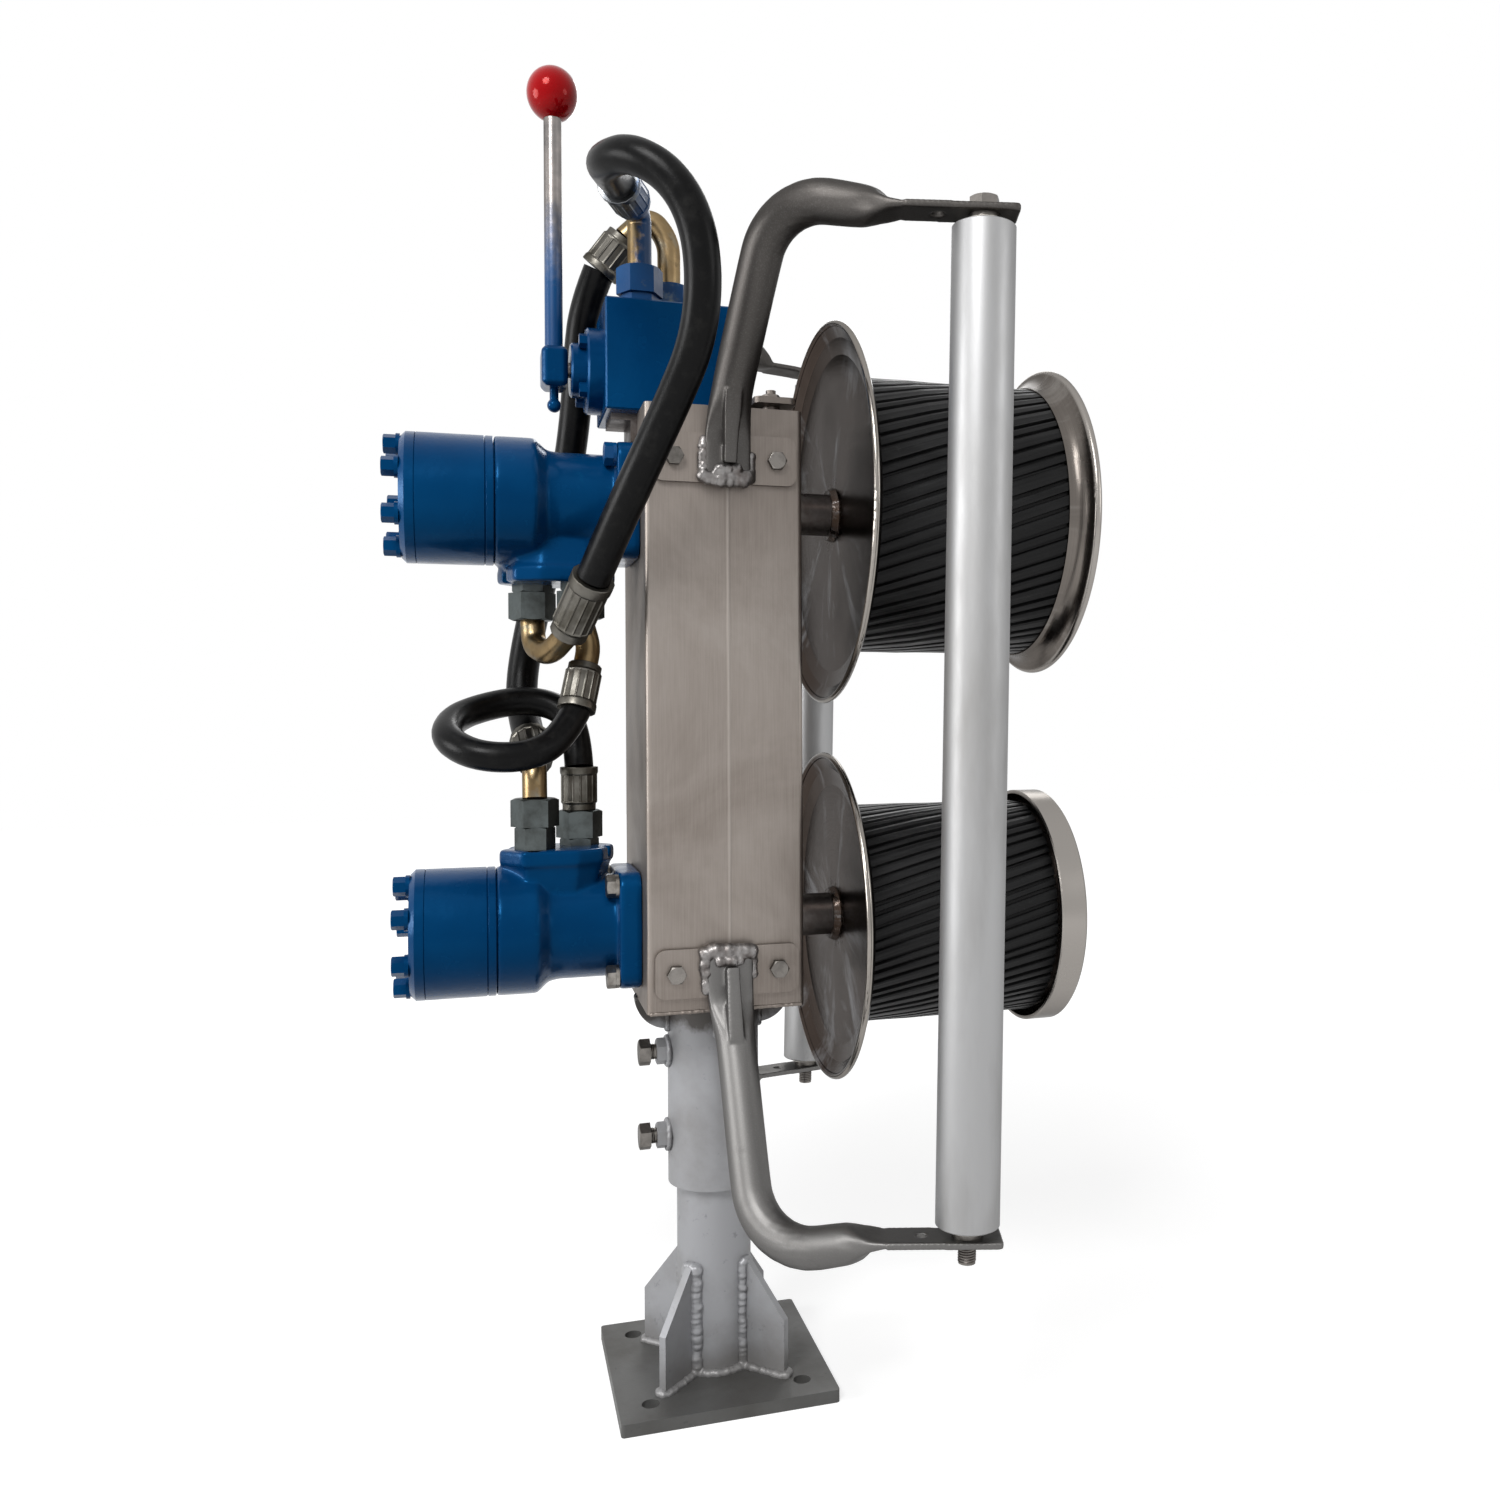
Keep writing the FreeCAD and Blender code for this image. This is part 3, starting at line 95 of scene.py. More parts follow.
# Ends editing: outward faces, soft shading and the piece's place kept in its mesh
def settle(piece, place=None, angle=40):
    bpy.ops.mesh.select_all(action="SELECT")
    bpy.ops.mesh.normals_make_consistent(inside=False)
    bpy.ops.object.mode_set(mode="OBJECT")
    if place is not None:
        piece.matrix_world = place @ piece.matrix_world
    pickOnly(piece)
    bpy.ops.object.transform_apply(location=True, rotation=True, scale=True)
    bpy.ops.object.shade_smooth_by_angle(angle=math.radians(angle))
    return piece


# A place on the line from start to end, with Z along it
def alongLine(start, end, share=0.5):
    start = Vector(start)
    end = Vector(end)
    turn = (end - start).to_track_quat("Z", "Y").to_matrix().to_4x4()
    return Matrix.Translation(start + (end - start) * share) @ turn


def copyTo(piece, name, place):
    twin = bpy.data.objects.new(name, piece.data.copy())
    bpy.context.scene.collection.objects.link(twin)
    twin.data.transform(place)
    return twin


def joined(pieces, name):
    pickNothing()
    for piece in pieces:
        piece.select_set(True)
    bpy.context.view_layer.objects.active = pieces[0]
    bpy.ops.object.join()
    whole = bpy.context.object
    whole.name = name
    return whole


# A copy of a node's own solid, in edit mode and with its doubled corners merged
def openCopy(nodeName, ending):
    piece = bpy.data.objects.new(nodeName + ending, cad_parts[nodeName].data.copy())
    bpy.context.scene.collection.objects.link(piece)
    pickOnly(piece)
    bpy.ops.object.mode_set(mode="EDIT")
    bpy.ops.mesh.select_all(action="SELECT")
    bpy.ops.mesh.remove_doubles(threshold=mergeDistance)
    return piece


# One closed skin over all that a piece is made of, with its edges worn soft
def fusedAndSoft(piece, grain, softening):
    fused = piece.modifiers.new("fused", "REMESH")
    fused.mode = "VOXEL"
    fused.voxel_size = grain
    bpy.ops.object.modifier_apply(modifier=fused.name)
    soft = piece.modifiers.new("soft", "SMOOTH")
    soft.factor = 0.5
    soft.iterations = softening
    bpy.ops.object.modifier_apply(modifier=soft.name)
    bpy.ops.object.shade_smooth()


def finishPiece(piece, body, material):
    piece.data.materials.clear()
    piece.data.materials.append(material)
    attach(piece, body)


# Shader tools

class Wire:
    # A shader socket that takes part in sums
    def __init__(self, finish, socket):
        self.finish = finish
        self.socket = socket

    def combined(self, operation, first, second):
        return self.finish.node("ShaderNodeMath", {"operation": operation}, {0: first, 1: second})

    def __add__(self, other):
        return self.combined("ADD", self, other)

    def __sub__(self, other):
        return self.combined("SUBTRACT", self, other)

    def __rsub__(self, other):
        return self.combined("SUBTRACT", other, self)

    def __mul__(self, other):
        return self.combined("MULTIPLY", self, other)

    def __truediv__(self, other):
        return self.combined("DIVIDE", self, other)


class Finish:
    # A material on a Principled shader, read in the piece's own coordinates
    def __init__(self, name, **shaderValues):
        self.material = bpy.data.materials.new(name)
        self.material.use_nodes = True
        self.tree = self.material.node_tree
        self.shader = self.tree.nodes["Principled BSDF"]
        self.place = self.node("ShaderNodeTexCoord", output="Object")
        for name, value in shaderValues.items():
            self.shader.inputs[name.replace("_", " ")].default_value = value

    def feed(self, entry, value):
        if isinstance(value, Wire):
            self.tree.links.new(value.socket, entry)
        elif isinstance(value, tuple) and entry.type == "RGBA":
            entry.default_value = (*value, 1.0)
        else:
            entry.default_value = value

    def node(self, kind, settings=None, sockets=None, output=0):
        node = self.tree.nodes.new(kind)
        for name, value in (settings or {}).items():
            if name == "stops":
                self.setStops(node.color_ramp, value)
            else:
                setattr(node, name, value)
        for name, value in (sockets or {}).items():
            self.feed(node.inputs[name], value)
        return Wire(self, node.outputs[output])

    def setStops(self, ramp, stops):
        while len(ramp.elements) < len(stops):
            ramp.elements.new(0.5)
        for element, (position, colour) in zip(ramp.elements, stops):
            element.position = position
            element.color = (*colour, 1.0)

    def stretched(self, scale):
        return self.node("ShaderNodeMapping", {}, {"Vector": self.place, "Scale": scale})

    def noise(self, scale, detail=3.0, roughness=0.5, vector=None, distortion=0.0):
        sockets = {"Vector": vector or self.place, "Scale": scale, "Detail": detail}
        sockets.update({"Roughness": roughness, "Distortion": distortion})
        return self.node("ShaderNodeTexNoise", {}, sockets)

    def span(self, value, low, high, start=0.0, end=1.0):
        sockets = {"Value": value, "From Min": low, "From Max": high, "To Min": start, "To Max": end}
        return self.node("ShaderNodeMapRange", {}, sockets)

    def axis(self, name):
        return self.node("ShaderNodeSeparateXYZ", {}, {"Vector": self.place}, output=name)

    # One value at the lower drum, another at the upper
    def byDrum(self, low, high):
        return self.span(self.axis("Z"), *middleBand, low, high)

    def mixed(self, mask, first, second):
        node = self.tree.nodes.new("ShaderNodeMix")
        node.data_type = "RGBA"
        self.feed(node.inputs[0], mask)
        self.feed(node.inputs[6], first)
        self.feed(node.inputs[7], second)
        return Wire(self, node.outputs[2])

    def blend(self, value, low, high, first, second):
        return self.mixed(self.span(value, low, high), first, second)

    def bump(self, height, distance, strength=1.0):
        sockets = {"Height": height, "Distance": distance, "Strength": strength}
        return self.node("ShaderNodeBump", {}, sockets)

    def ends(self, **inputs):
        if "Metallic" in inputs:  # bare metal keeps a darker edge
            self.shader.inputs["Specular Tint"].default_value = (0.5, 0.5, 0.5, 1.0)
        for name, value in inputs.items():
            self.feed(self.shader.inputs[name.replace("_", " ")], value)
        return self.material


# Camera, solved from the photograph's straight edges and ellipses
print("camera and light")
cameraValues = {
    "place": (-0.18639, -1.09012, 0.54606),
    "turnRight": 0.311,
    "tiltDown": 0.007,
    "roll": -0.004,
    "focalPixels": 1322.34,
    "centrePixels": (900.0, 719.25),
    "imagePixels": 1500,
    "sensorWidth": 36.0,
}


def addCamera(values):
    turn = values["turnRight"]
    tilt = values["tiltDown"]
    forward = Vector((math.sin(turn) * math.cos(tilt), math.cos(turn) * math.cos(tilt), -math.sin(tilt)))
    right = Vector((math.cos(turn), -math.sin(turn), 0))
    up = right.cross(forward)
    rolled = Matrix.Rotation(values["roll"], 3, -forward)
    axes = Matrix((rolled @ right, rolled @ up, -forward)).transposed().to_4x4()
    bpy.ops.object.camera_add()
    camera = bpy.context.object
    camera.matrix_world = Matrix.Translation(values["place"]) @ axes
    size = values["imagePixels"]
    camera.data.sensor_width = values["sensorWidth"]
    camera.data.lens = values["focalPixels"] * values["sensorWidth"] / size
    camera.data.shift_x = (size / 2 - values["centrePixels"][0]) / size
    camera.data.shift_y = (values["centrePixels"][1] - size / 2) / size
    camera.data.clip_start = 0.01
    bpy.context.scene.camera = camera


pickNothing()
addCamera(cameraValues)


# Plain studio: a pale floor that keeps a soft shadow, a white surround and four soft lamps
studioValues = {
    "floorSize": 12.0,
    "floorGlow": 0.72,
    "surround": 0.16,
    "lamps": (
        ("keyLamp", (-1.2, -1.7, 2.3), 1.1, 58.0),
        ("sideLamp", (-2.2, -0.2, 0.9), 1.0, 26.0),
        ("rightLamp", (1.9, -1.5, 1.2), 0.8, 6.0),
        ("backLamp", (0.8, 2.0, 1.8), 1.2, 14.0),
    ),
    "aim": (0.1, 0.0, 0.55),
}


def addStudio(values):
    scene = bpy.context.scene
    scene.view_settings.view_transform = "Standard"
    bpy.ops.mesh.primitive_plane_add(size=values["floorSize"])
    floor = bpy.context.object
    floor.name = "studioFloor"
    finish = Finish("paleFloor", Roughness=0.9)
    light = finish.node("ShaderNodeLightPath", output="Is Camera Ray")
    glossy = finish.node("ShaderNodeLightPath", output="Is Glossy Ray")
    through = finish.node("ShaderNodeLightPath", output="Is Transmission Ray")
    seen = light + glossy + through
    finish.shader.inputs["Specular IOR Level"].default_value = 0.0
    finish.shader.inputs["Base Color"].default_value = (0.45, 0.45, 0.45, 1.0)
    away = finish.node("ShaderNodeVectorMath", {"operation": "LENGTH"}, {0: finish.place}, output="Value")
    strength = finish.span(away, 0.5, 2.6, values["floorGlow"], 1.05)
    glow = finish.node("ShaderNodeEmission", {}, {"Color": (1.0, 1.0, 1.0), "Strength": seen * strength})
    both = finish.tree.nodes.new("ShaderNodeAddShader")
    finish.tree.links.new(finish.shader.outputs[0], both.inputs[0])
    finish.tree.links.new(glow.socket, both.inputs[1])
    finish.tree.links.new(both.outputs[0], finish.tree.nodes["Material Output"].inputs[0])
    floor.data.materials.append(finish.material)

    world = bpy.data.worlds.new("studioSurround")
    scene.world = world
    world.use_nodes = True
    nodes = world.node_tree.nodes
    path = nodes.new("ShaderNodeLightPath")
    background = nodes["Background"]
    background.inputs["Color"].default_value = (1.0, 1.0, 1.0, 1.0)
    strength = values["surround"]
    for rayName in ("Is Camera Ray", "Is Glossy Ray", "Is Transmission Ray"):
        widest = nodes.new("ShaderNodeMath")
        widest.operation = "MAXIMUM"
        world.node_tree.links.new(path.outputs[rayName], widest.inputs[0])
        if isinstance(strength, float):
            widest.inputs[1].default_value = strength
        else:
            world.node_tree.links.new(strength, widest.inputs[1])
        strength = widest.outputs[0]
    world.node_tree.links.new(strength, background.inputs["Strength"])

    for name, place, size, power in values["lamps"]:
        bpy.ops.object.light_add(type="AREA", location=place)
        lamp = bpy.context.object
        lamp.name = name
        lamp.data.shape = "DISK"
        lamp.data.size = size
        lamp.data.energy = power
        away = Vector(values["aim"]) - Vector(place)
        lamp.rotation_euler = away.to_track_quat("-Z", "Y").to_euler()


pickNothing()
addStudio(studioValues)


# Finishes
print("finishes")

# Blue enamel: thick glossy coat with orange peel and a few thin places
blueValues = {
    "colour": (0.0008, 0.043, 0.136),
    "deepColour": (0.0005, 0.031, 0.104),
    "thinColour": (0.003, 0.072, 0.185),
    "roughness": 0.16,
}
sprayValues = dict(blueValues, colour=(0.0006, 0.060, 0.190), deepColour=(0.0005, 0.045, 0.150))


def paintBlue(finish, values):
    broad = finish.noise(9.0, 3.0)
    colour = finish.blend(broad, 0.40, 0.66, values["colour"], values["deepColour"])
    thin = finish.span(finish.noise(60.0, 4.0, 0.6), 0.66, 0.78)
    return finish.mixed(thin * 0.5, colour, values["thinColour"])


def blueEnamel():
    values = blueValues
    finish = Finish("blueEnamel", Specular_IOR_Level=0.32, Specular_Tint=(0.05, 0.42, 1.0, 1.0))
    peel = finish.noise(260.0, 2.0)
    sag = finish.noise(34.0, 2.0)
    height = peel * 0.25 + sag * 0.9
    smoothest = values["roughness"]
    roughness = finish.span(finish.noise(45.0, 3.0), 0.3, 0.7, smoothest, smoothest + 0.14)
    return finish.ends(Base_Color=paintBlue(finish, values), Roughness=roughness,
                       Normal=finish.bump(height, 0.0007, 0.7))


# Stainless sheet: satin, warm grey, with upright brush lines, faint stains, painted shade that darkens it
# towards the bottom, and a ground seam
sheetValues = {
    "colour": (0.30, 0.268, 0.243),
    "stainAndShade": (0.205, 0.176, 0.155),
    "bright": (0.40, 0.366, 0.337),
    "seamX": 0.0015,
    "seamHalf": 0.0011,
    "seamFront": (-0.0715, -0.0705),
    "sheetShadeHeight": (0.34, 0.62),
    "roughness": 0.40,
}


def stainlessSheet():
    values = sheetValues
    finish = Finish("stainlessSheet")
    brush = finish.noise(1.0, 4.0, 0.6, vector=finish.stretched((900.0, 900.0, 26.0)))
    blotch = finish.noise(7.0, 5.0, 0.62, distortion=0.6)
    speck = finish.noise(340.0, 2.0)
    # Painted shade: the colour darkens towards the bottom of the sheet, mixed in with the stains
    low = finish.span(finish.axis("Z"), *values["sheetShadeHeight"], 0.55, 0.0)
    colour = finish.blend(blotch + low * 0.3, 0.38, 0.74, values["colour"], values["stainAndShade"])
    colour = finish.mixed(finish.span(brush, 0.35, 0.75) * 0.22, colour, values["bright"])
    offset = finish.axis("X") - values["seamX"]
    across = finish.node("ShaderNodeMath", {"operation": "ABSOLUTE"}, {0: offset})
    wander = finish.noise(30.0, 2.0) * 0.0014
    half = values["seamHalf"]
    seam = finish.span(across + wander - 0.0007, half * 0.3, half * 1.6, 1.0, 0.0)
    front = finish.span(finish.axis("Y"), *values["seamFront"], 1.0, 0.0)
    line = seam * front
    colour = finish.mixed(line * 0.45, colour, values["bright"])
    roughness = finish.span(blotch, 0.3, 0.7, values["roughness"] - 0.05, values["roughness"] + 0.13)
    height = brush * 0.35 + speck * 0.4 + line * 1.6
    return finish.ends(Base_Color=colour, Roughness=roughness, Metallic=0.9,
                       Normal=finish.bump(height, 0.00022, 0.7))


# Bead-blasted arms: grey with a fine grain and handling marks, darker and browner on the upper pair, which
# is partly a browner steel and partly painted shade
armValues = {
    "colour": (0.145, 0.141, 0.137),
    "dark": (0.088, 0.084, 0.080),
    "upperSteelAndShade": (0.068, 0.063, 0.059),
    "upperFrom": (0.60, 0.80),
    "roughness": 0.46,
}


def blastedSteel():
    values = armValues
    finish = Finish("blastedSteel")
    grain = finish.noise(900.0, 2.0, 0.7)
    marks = finish.span(finish.noise(24.0, 5.0, 0.65), 0.56, 0.76)
    colour = finish.mixed(marks * 0.7, values["colour"], values["dark"])
    # Partly painted shade: the upper pair is darker
    upper = finish.span(finish.axis("Z"), *values["upperFrom"])
    colour = finish.mixed(upper, colour, values["upperSteelAndShade"])
    colour = finish.mixed(finish.span(grain, 0.5, 0.8) * 0.12, colour, (0.34, 0.34, 0.34))
    roughness = finish.span(marks, 0.0, 1.0, values["roughness"], values["roughness"] + 0.16)
    return finish.ends(Base_Color=colour, Roughness=roughness, Metallic=0.92,
                       Normal=finish.bump(grain, 0.00012, 0.6))


# Roller tubes: zinc-bright, turned fine, softly worn along their length
rollerValues = {"colour": (0.36, 0.36, 0.363), "worn": (0.285, 0.282, 0.278), "roughness": 0.44}


def rollerTube():
    values = rollerValues
    finish = Finish("rollerTube")
    turned = finish.noise(1.0, 3.0, 0.6, vector=finish.stretched((20.0, 20.0, 1600.0)))
    worn = finish.noise(1.0, 4.0, 0.6, vector=finish.stretched((26.0, 26.0, 6.0)))
    colour = finish.blend(worn, 0.45, 0.75, values["colour"], values["worn"])
    roughness = finish.span(worn, 0.3, 0.7, values["roughness"] - 0.04, values["roughness"] + 0.10)
    height = turned * 0.4 + finish.noise(700.0, 2.0) * 0.4
    return finish.ends(Base_Color=colour, Roughness=roughness, Metallic=0.88,
                       Normal=finish.bump(height, 0.00012, 0.6))


# Spun drum flanges: polished, brownish in reflection, with turning rings, rust near the hub, bright streaks
# of painted reflection and a painted highlight round the rim
flangeValues = {
    "colour": (0.062, 0.048, 0.041),
    "ring": (0.040, 0.031, 0.026),
    "paintedReflection": (0.330, 0.335, 0.350),
    "edge": (0.27, 0.250, 0.228),
    "rust": (0.070, 0.040, 0.024),
    "rimHighlightWidth": 0.0035,
    "rustReach": 0.046,
    "roughness": 0.13,
}
rimValues = dict(flangeValues, colour=(0.150, 0.134, 0.121), ring=(0.108, 0.096, 0.086), rustReach=0.030,
                 paintedReflection=(0.34, 0.32, 0.30), edge=(0.30, 0.28, 0.26), roughness=0.20)


def spunFlange(name, values, nodeNames):
    finish = Finish(name)
    y = finish.axis("Y")
    rims = [(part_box(nodeName)[1][2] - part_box(nodeName)[0][2]) / 2 for nodeName in nodeNames]
    rise = finish.axis("Z") - finish.byDrum(*drumAxes)
    radius = finish.node("ShaderNodeMath", {"operation": "SQRT"}, {0: rise * rise + y * y})
    rings = finish.node("ShaderNodeTexNoise", {"noise_dimensions": "1D"},
                        {"W": radius, "Scale": 1500.0, "Detail": 3.0, "Roughness": 0.6})
    cloud = finish.noise(16.0, 4.0, 0.6)

    # Painted reflection: bright polished streaks that fan out from the hub
    fan = finish.node("ShaderNodeCombineXYZ", {}, {"X": y / radius * 2.4, "Y": rise / radius * 2.4,
                                                   "Z": radius * 9.0 + finish.byDrum(0.0, 7.0)})
    reflectionStreak = finish.span(finish.noise(1.0, 5.0, 0.7, vector=fan, distortion=0.5), 0.52, 0.74)
    colour = finish.mixed(finish.span(rings, 0.35, 0.75) * 0.6, values["colour"], values["ring"])
    colour = finish.mixed(finish.span(cloud, 0.45, 0.72) * 0.6, colour, values["ring"])
    colour = finish.mixed(reflectionStreak * 0.7, colour, values["paintedReflection"])
    # Painted highlight: a brighter band round the rim
    inward = finish.byDrum(*rims) - radius
    edge = finish.span(inward, values["rimHighlightWidth"] * 0.5, values["rimHighlightWidth"], 1.0, 0.0)
    colour = finish.mixed(edge, colour, values["edge"])
    nearHub = finish.span(radius, 0.022, values["rustReach"], 1.0, 0.0)
    rusty = finish.span(finish.noise(120.0, 5.0, 0.7) * 0.75 + nearHub * 0.30, 0.62, 0.72)
    colour = finish.mixed(rusty * 0.8, colour, values["rust"])
    roughness = finish.span(cloud, 0.3, 0.7, values["roughness"], values["roughness"] + 0.12) + rusty * 0.35
    return finish.ends(Base_Color=colour, Roughness=roughness, Metallic=1.0 - rusty * 0.7,
                       Normal=finish.bump(rings * 0.5 + rusty * 0.8, 0.0002, 0.6))


# Sprayed paint over steel, for the post, sleeve, gussets and base plate, with painted shade on the sleeve
# under the head box
def sprayedPaint(name, colour, dirt, metallic, roughness, edgeHeight=None, underBoxShadeHeight=None):
    finish = Finish(name)
    cloud = finish.noise(11.0, 5.0, 0.62)
    grit = finish.noise(420.0, 3.0, 0.6)
    speck = finish.span(finish.noise(95.0, 3.0, 0.7), 0.64, 0.74)
    tint = finish.mixed(finish.span(cloud, 0.42, 0.74) * 0.8, colour, dirt)
    tint = finish.mixed(speck * 0.5, tint, tuple(channel * 0.45 for channel in colour))
    # Darker towards the foot, next to the base plate
    if edgeHeight is not None:
        low = finish.span(finish.axis("Z"), edgeHeight, edgeHeight + 0.035, 1.0, 0.0)
        footDarkening = finish.span(low * 0.6 + cloud * 0.6, 0.55, 0.85)
        tint = finish.mixed(footDarkening * 0.55, tint, dirt)
    # Painted shade: a ragged dark band on the sleeve's top and ribs, under the head box
    if underBoxShadeHeight is not None:
        ragged = finish.axis("Z") + finish.noise(70.0, 4.0, 0.6) * 0.024
        underBoxShade = finish.span(ragged, underBoxShadeHeight + 0.010, underBoxShadeHeight + 0.018)
        tint = finish.mixed(underBoxShade * 0.85, tint, (0.060, 0.052, 0.045))
    rough = finish.span(cloud, 0.3, 0.7, roughness - 0.05, roughness + 0.12)
    return finish.ends(Base_Color=tint, Roughness=rough, Metallic=metallic,
                       Normal=finish.bump(grit * 0.5 + finish.noise(60.0, 3.0) * 0.6, 0.0003, 0.6))


# Plain metals: machined, plated or oiled, told apart by colour, wear and roughness
def plainMetal(name, colour, wear, roughness, metallic=1.0):
    finish = Finish(name)
    cloud = finish.noise(55.0, 4.0, 0.6)
    grain = finish.noise(500.0, 2.0, 0.6)
    tint = finish.blend(cloud, 0.42, 0.70, colour, wear)
    rough = finish.span(cloud, 0.3, 0.7, roughness - 0.05, roughness + 0.14)
    return finish.ends(Base_Color=tint, Roughness=rough, Metallic=metallic,
                       Normal=finish.bump(grain, 0.0001, 0.6))


# Blue spray that drifted on to what stands in front of the valve's ports: a mask, 1 where it covers
valveSprayValues = {"height": (0.868, 0.880), "front": (-0.012, 0.004), "middle": -0.064, "fade": 22.0}


def valveSpray(finish, reach):
    values = valveSprayValues
    high = finish.span(finish.axis("Z"), *values["height"])
    front = finish.span(finish.axis("Y"), *values["front"], 1.0, 0.0)
    patch = finish.noise(70.0, 5.0, 0.68) * 0.7 + (finish.axis("X") - values["middle"]) * values["fade"]
    return high * front * finish.span(patch, reach, reach + 0.14)


# Ends a metal that the blue spray covers where the mask is 1
def underSpray(finish, metal, cover, roughness, grain, strength=0.5, metallic=1.0):
    tint = finish.mixed(cover, metal, paintBlue(finish, sprayValues))
    return finish.ends(Base_Color=tint, Roughness=roughness, Metallic=metallic - cover * metallic,
                       Normal=finish.bump(grain, 0.0001, strength))


# Silver ferrule caught by the blue spray
def sprayedFerrule():
    finish = Finish("sprayedFerrule")
    cloud = finish.noise(55.0, 4.0, 0.6)
    zinc = finish.blend(cloud, 0.42, 0.70, (0.18, 0.187, 0.195), (0.085, 0.092, 0.100))
    roughness = finish.span(cloud, 0.3, 0.7, 0.24, 0.38)
    return underSpray(finish, zinc, valveSpray(finish, 0.24) * 0.9, roughness, finish.noise(420.0, 2.0))


# Yellow-passivated pipes: gold with green and pink drifts and oil in the bends
def yellowZinc():
    finish = Finish("yellowZinc")
    drift = finish.noise(38.0, 3.0, 0.5, distortion=0.8)
    stops = ((0.30, (0.18, 0.155, 0.105)), (0.46, (0.25, 0.180, 0.095)), (0.58, (0.20, 0.140, 0.072)),
             (0.72, (0.21, 0.200, 0.165)))
    tint = finish.node("ShaderNodeValToRGB", {"stops": stops}, {0: drift})
    oil = finish.span(finish.noise(70.0, 4.0, 0.6), 0.58, 0.72)
    tint = finish.mixed(oil * 0.7, tint, (0.055, 0.040, 0.024))
    roughness = finish.span(oil, 0.0, 1.0, 0.33, 0.46)
    return underSpray(finish, tint, valveSpray(finish, 0.36), roughness, finish.noise(300.0, 2.0))


# Hose rubber: black, with the faint imprint of the cloth it was cured in
def hoseRubber():
    finish = Finish("hoseRubber", Specular_IOR_Level=0.11)
    sheetUv = finish.node("ShaderNodeTexCoord", output="UV")
    weave = finish.node("ShaderNodeMapping", {}, {"Vector": sheetUv, "Scale": (420.0, 70.0, 1.0)})
    cloth = finish.noise(1.0, 2.0, 0.6, vector=weave)
    dust = finish.noise(90.0, 4.0, 0.65)
    tint = finish.blend(dust, 0.50, 0.74, (0.0024, 0.0024, 0.0026), (0.0100, 0.0098, 0.0095))
    rough = finish.span(dust, 0.3, 0.7, 0.27, 0.38)
    height = cloth * 0.5 + finish.noise(500.0, 2.0) * 0.5
    return finish.ends(Base_Color=tint, Roughness=rough, Normal=finish.bump(height, 0.00016, 0.8))


# Lagging rubber: black strips that wind about the drum, ribbed along their length and greyer where rubbed
laggingValues = {
    "start": 0.107,
    "twist": math.radians(29.0),
    "strips": 60,
    "black": (0.0058, 0.0058, 0.0061),
    "worn": (0.021, 0.021, 0.0215),
    "chalk": (0.052, 0.051, 0.049),
    "crown": 0.0022,
}


def laggingRubber():
    values = laggingValues
    finish = Finish("laggingRubber", Specular_IOR_Level=0.16)
    laggings = ("lower_lagging", "upper_lagging")
    lengths = [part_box(nodeName)[1][0] - values["start"] for nodeName in laggings]
    share = (finish.axis("X") - values["start"]) / finish.byDrum(*lengths)
    centre = finish.node("ShaderNodeCombineXYZ", {}, {"Z": finish.byDrum(*drumAxes)})
    unwound = finish.node("ShaderNodeVectorRotate", {"rotation_type": "X_AXIS"},
                          {"Vector": finish.place, "Center": centre, "Angle": share * values["twist"]})
    flat = finish.node("ShaderNodeVectorMath", {"operation": "SUBTRACT"}, {0: unwound, 1: centre})
    y = finish.node("ShaderNodeSeparateXYZ", {}, {"Vector": flat}, output="Y")
    rise = finish.node("ShaderNodeSeparateXYZ", {}, {"Vector": flat}, output="Z")
    turn = finish.node("ShaderNodeMath", {"operation": "ARCTAN2"}, {0: rise, 1: y})
    strip = turn * (values["strips"] / math.tau)
    crown = finish.node("ShaderNodeMath", {"operation": "PINGPONG"}, {0: strip, 1: 0.5})
    ribs = finish.node("ShaderNodeMapping", {}, {"Vector": flat, "Scale": (9.0, 330.0, 330.0)})
    rib = finish.noise(1.0, 3.0, 0.6, vector=ribs)
    along = finish.noise(1.0, 4.0, 0.62, vector=finish.stretched((16.0, 70.0, 70.0)))
    grain = finish.noise(380.0, 3.0, 0.6)
    tint = finish.blend(along * 0.6 + rib * 0.5, 0.46, 0.72, values["black"], values["worn"])
    chalk = finish.span(finish.noise(150.0, 4.0, 0.7), 0.62, 0.78)
    tint = finish.mixed(chalk * 0.35, tint, values["chalk"])
    rough = finish.span(along, 0.3, 0.7, 0.36, 0.58)
    height = crown * values["crown"] + rib * 0.0006 + grain * 0.00016
    return finish.ends(Base_Color=tint, Roughness=rough, Normal=finish.bump(height, 1.0, 0.8))


def redKnob():
    finish = Finish("redKnob", Coat_Weight=0.12, Coat_Roughness=0.04, Specular_IOR_Level=0.3,
                    Specular_Tint=(1.0, 0.08, 0.06, 1.0))
    scuff = finish.span(finish.noise(85.0, 4.0, 0.6), 0.60, 0.76)
    tint = finish.mixed(scuff * 0.35, (0.30, 0.0015, 0.004), (0.22, 0.004, 0.006))
    return finish.ends(Base_Color=tint, Roughness=finish.span(scuff, 0.0, 1.0, 0.16, 0.32),
                       Normal=finish.bump(finish.noise(60.0, 2.0), 0.0002, 0.12))


# Bare steel above, blue spray fading in below: the lever's rod
rodValues = {
    "steel": (0.27, 0.247, 0.235),
    "worn": (0.165, 0.157, 0.155),
    "fade": (0.884, 0.952),
    "scatter": 0.055,
}


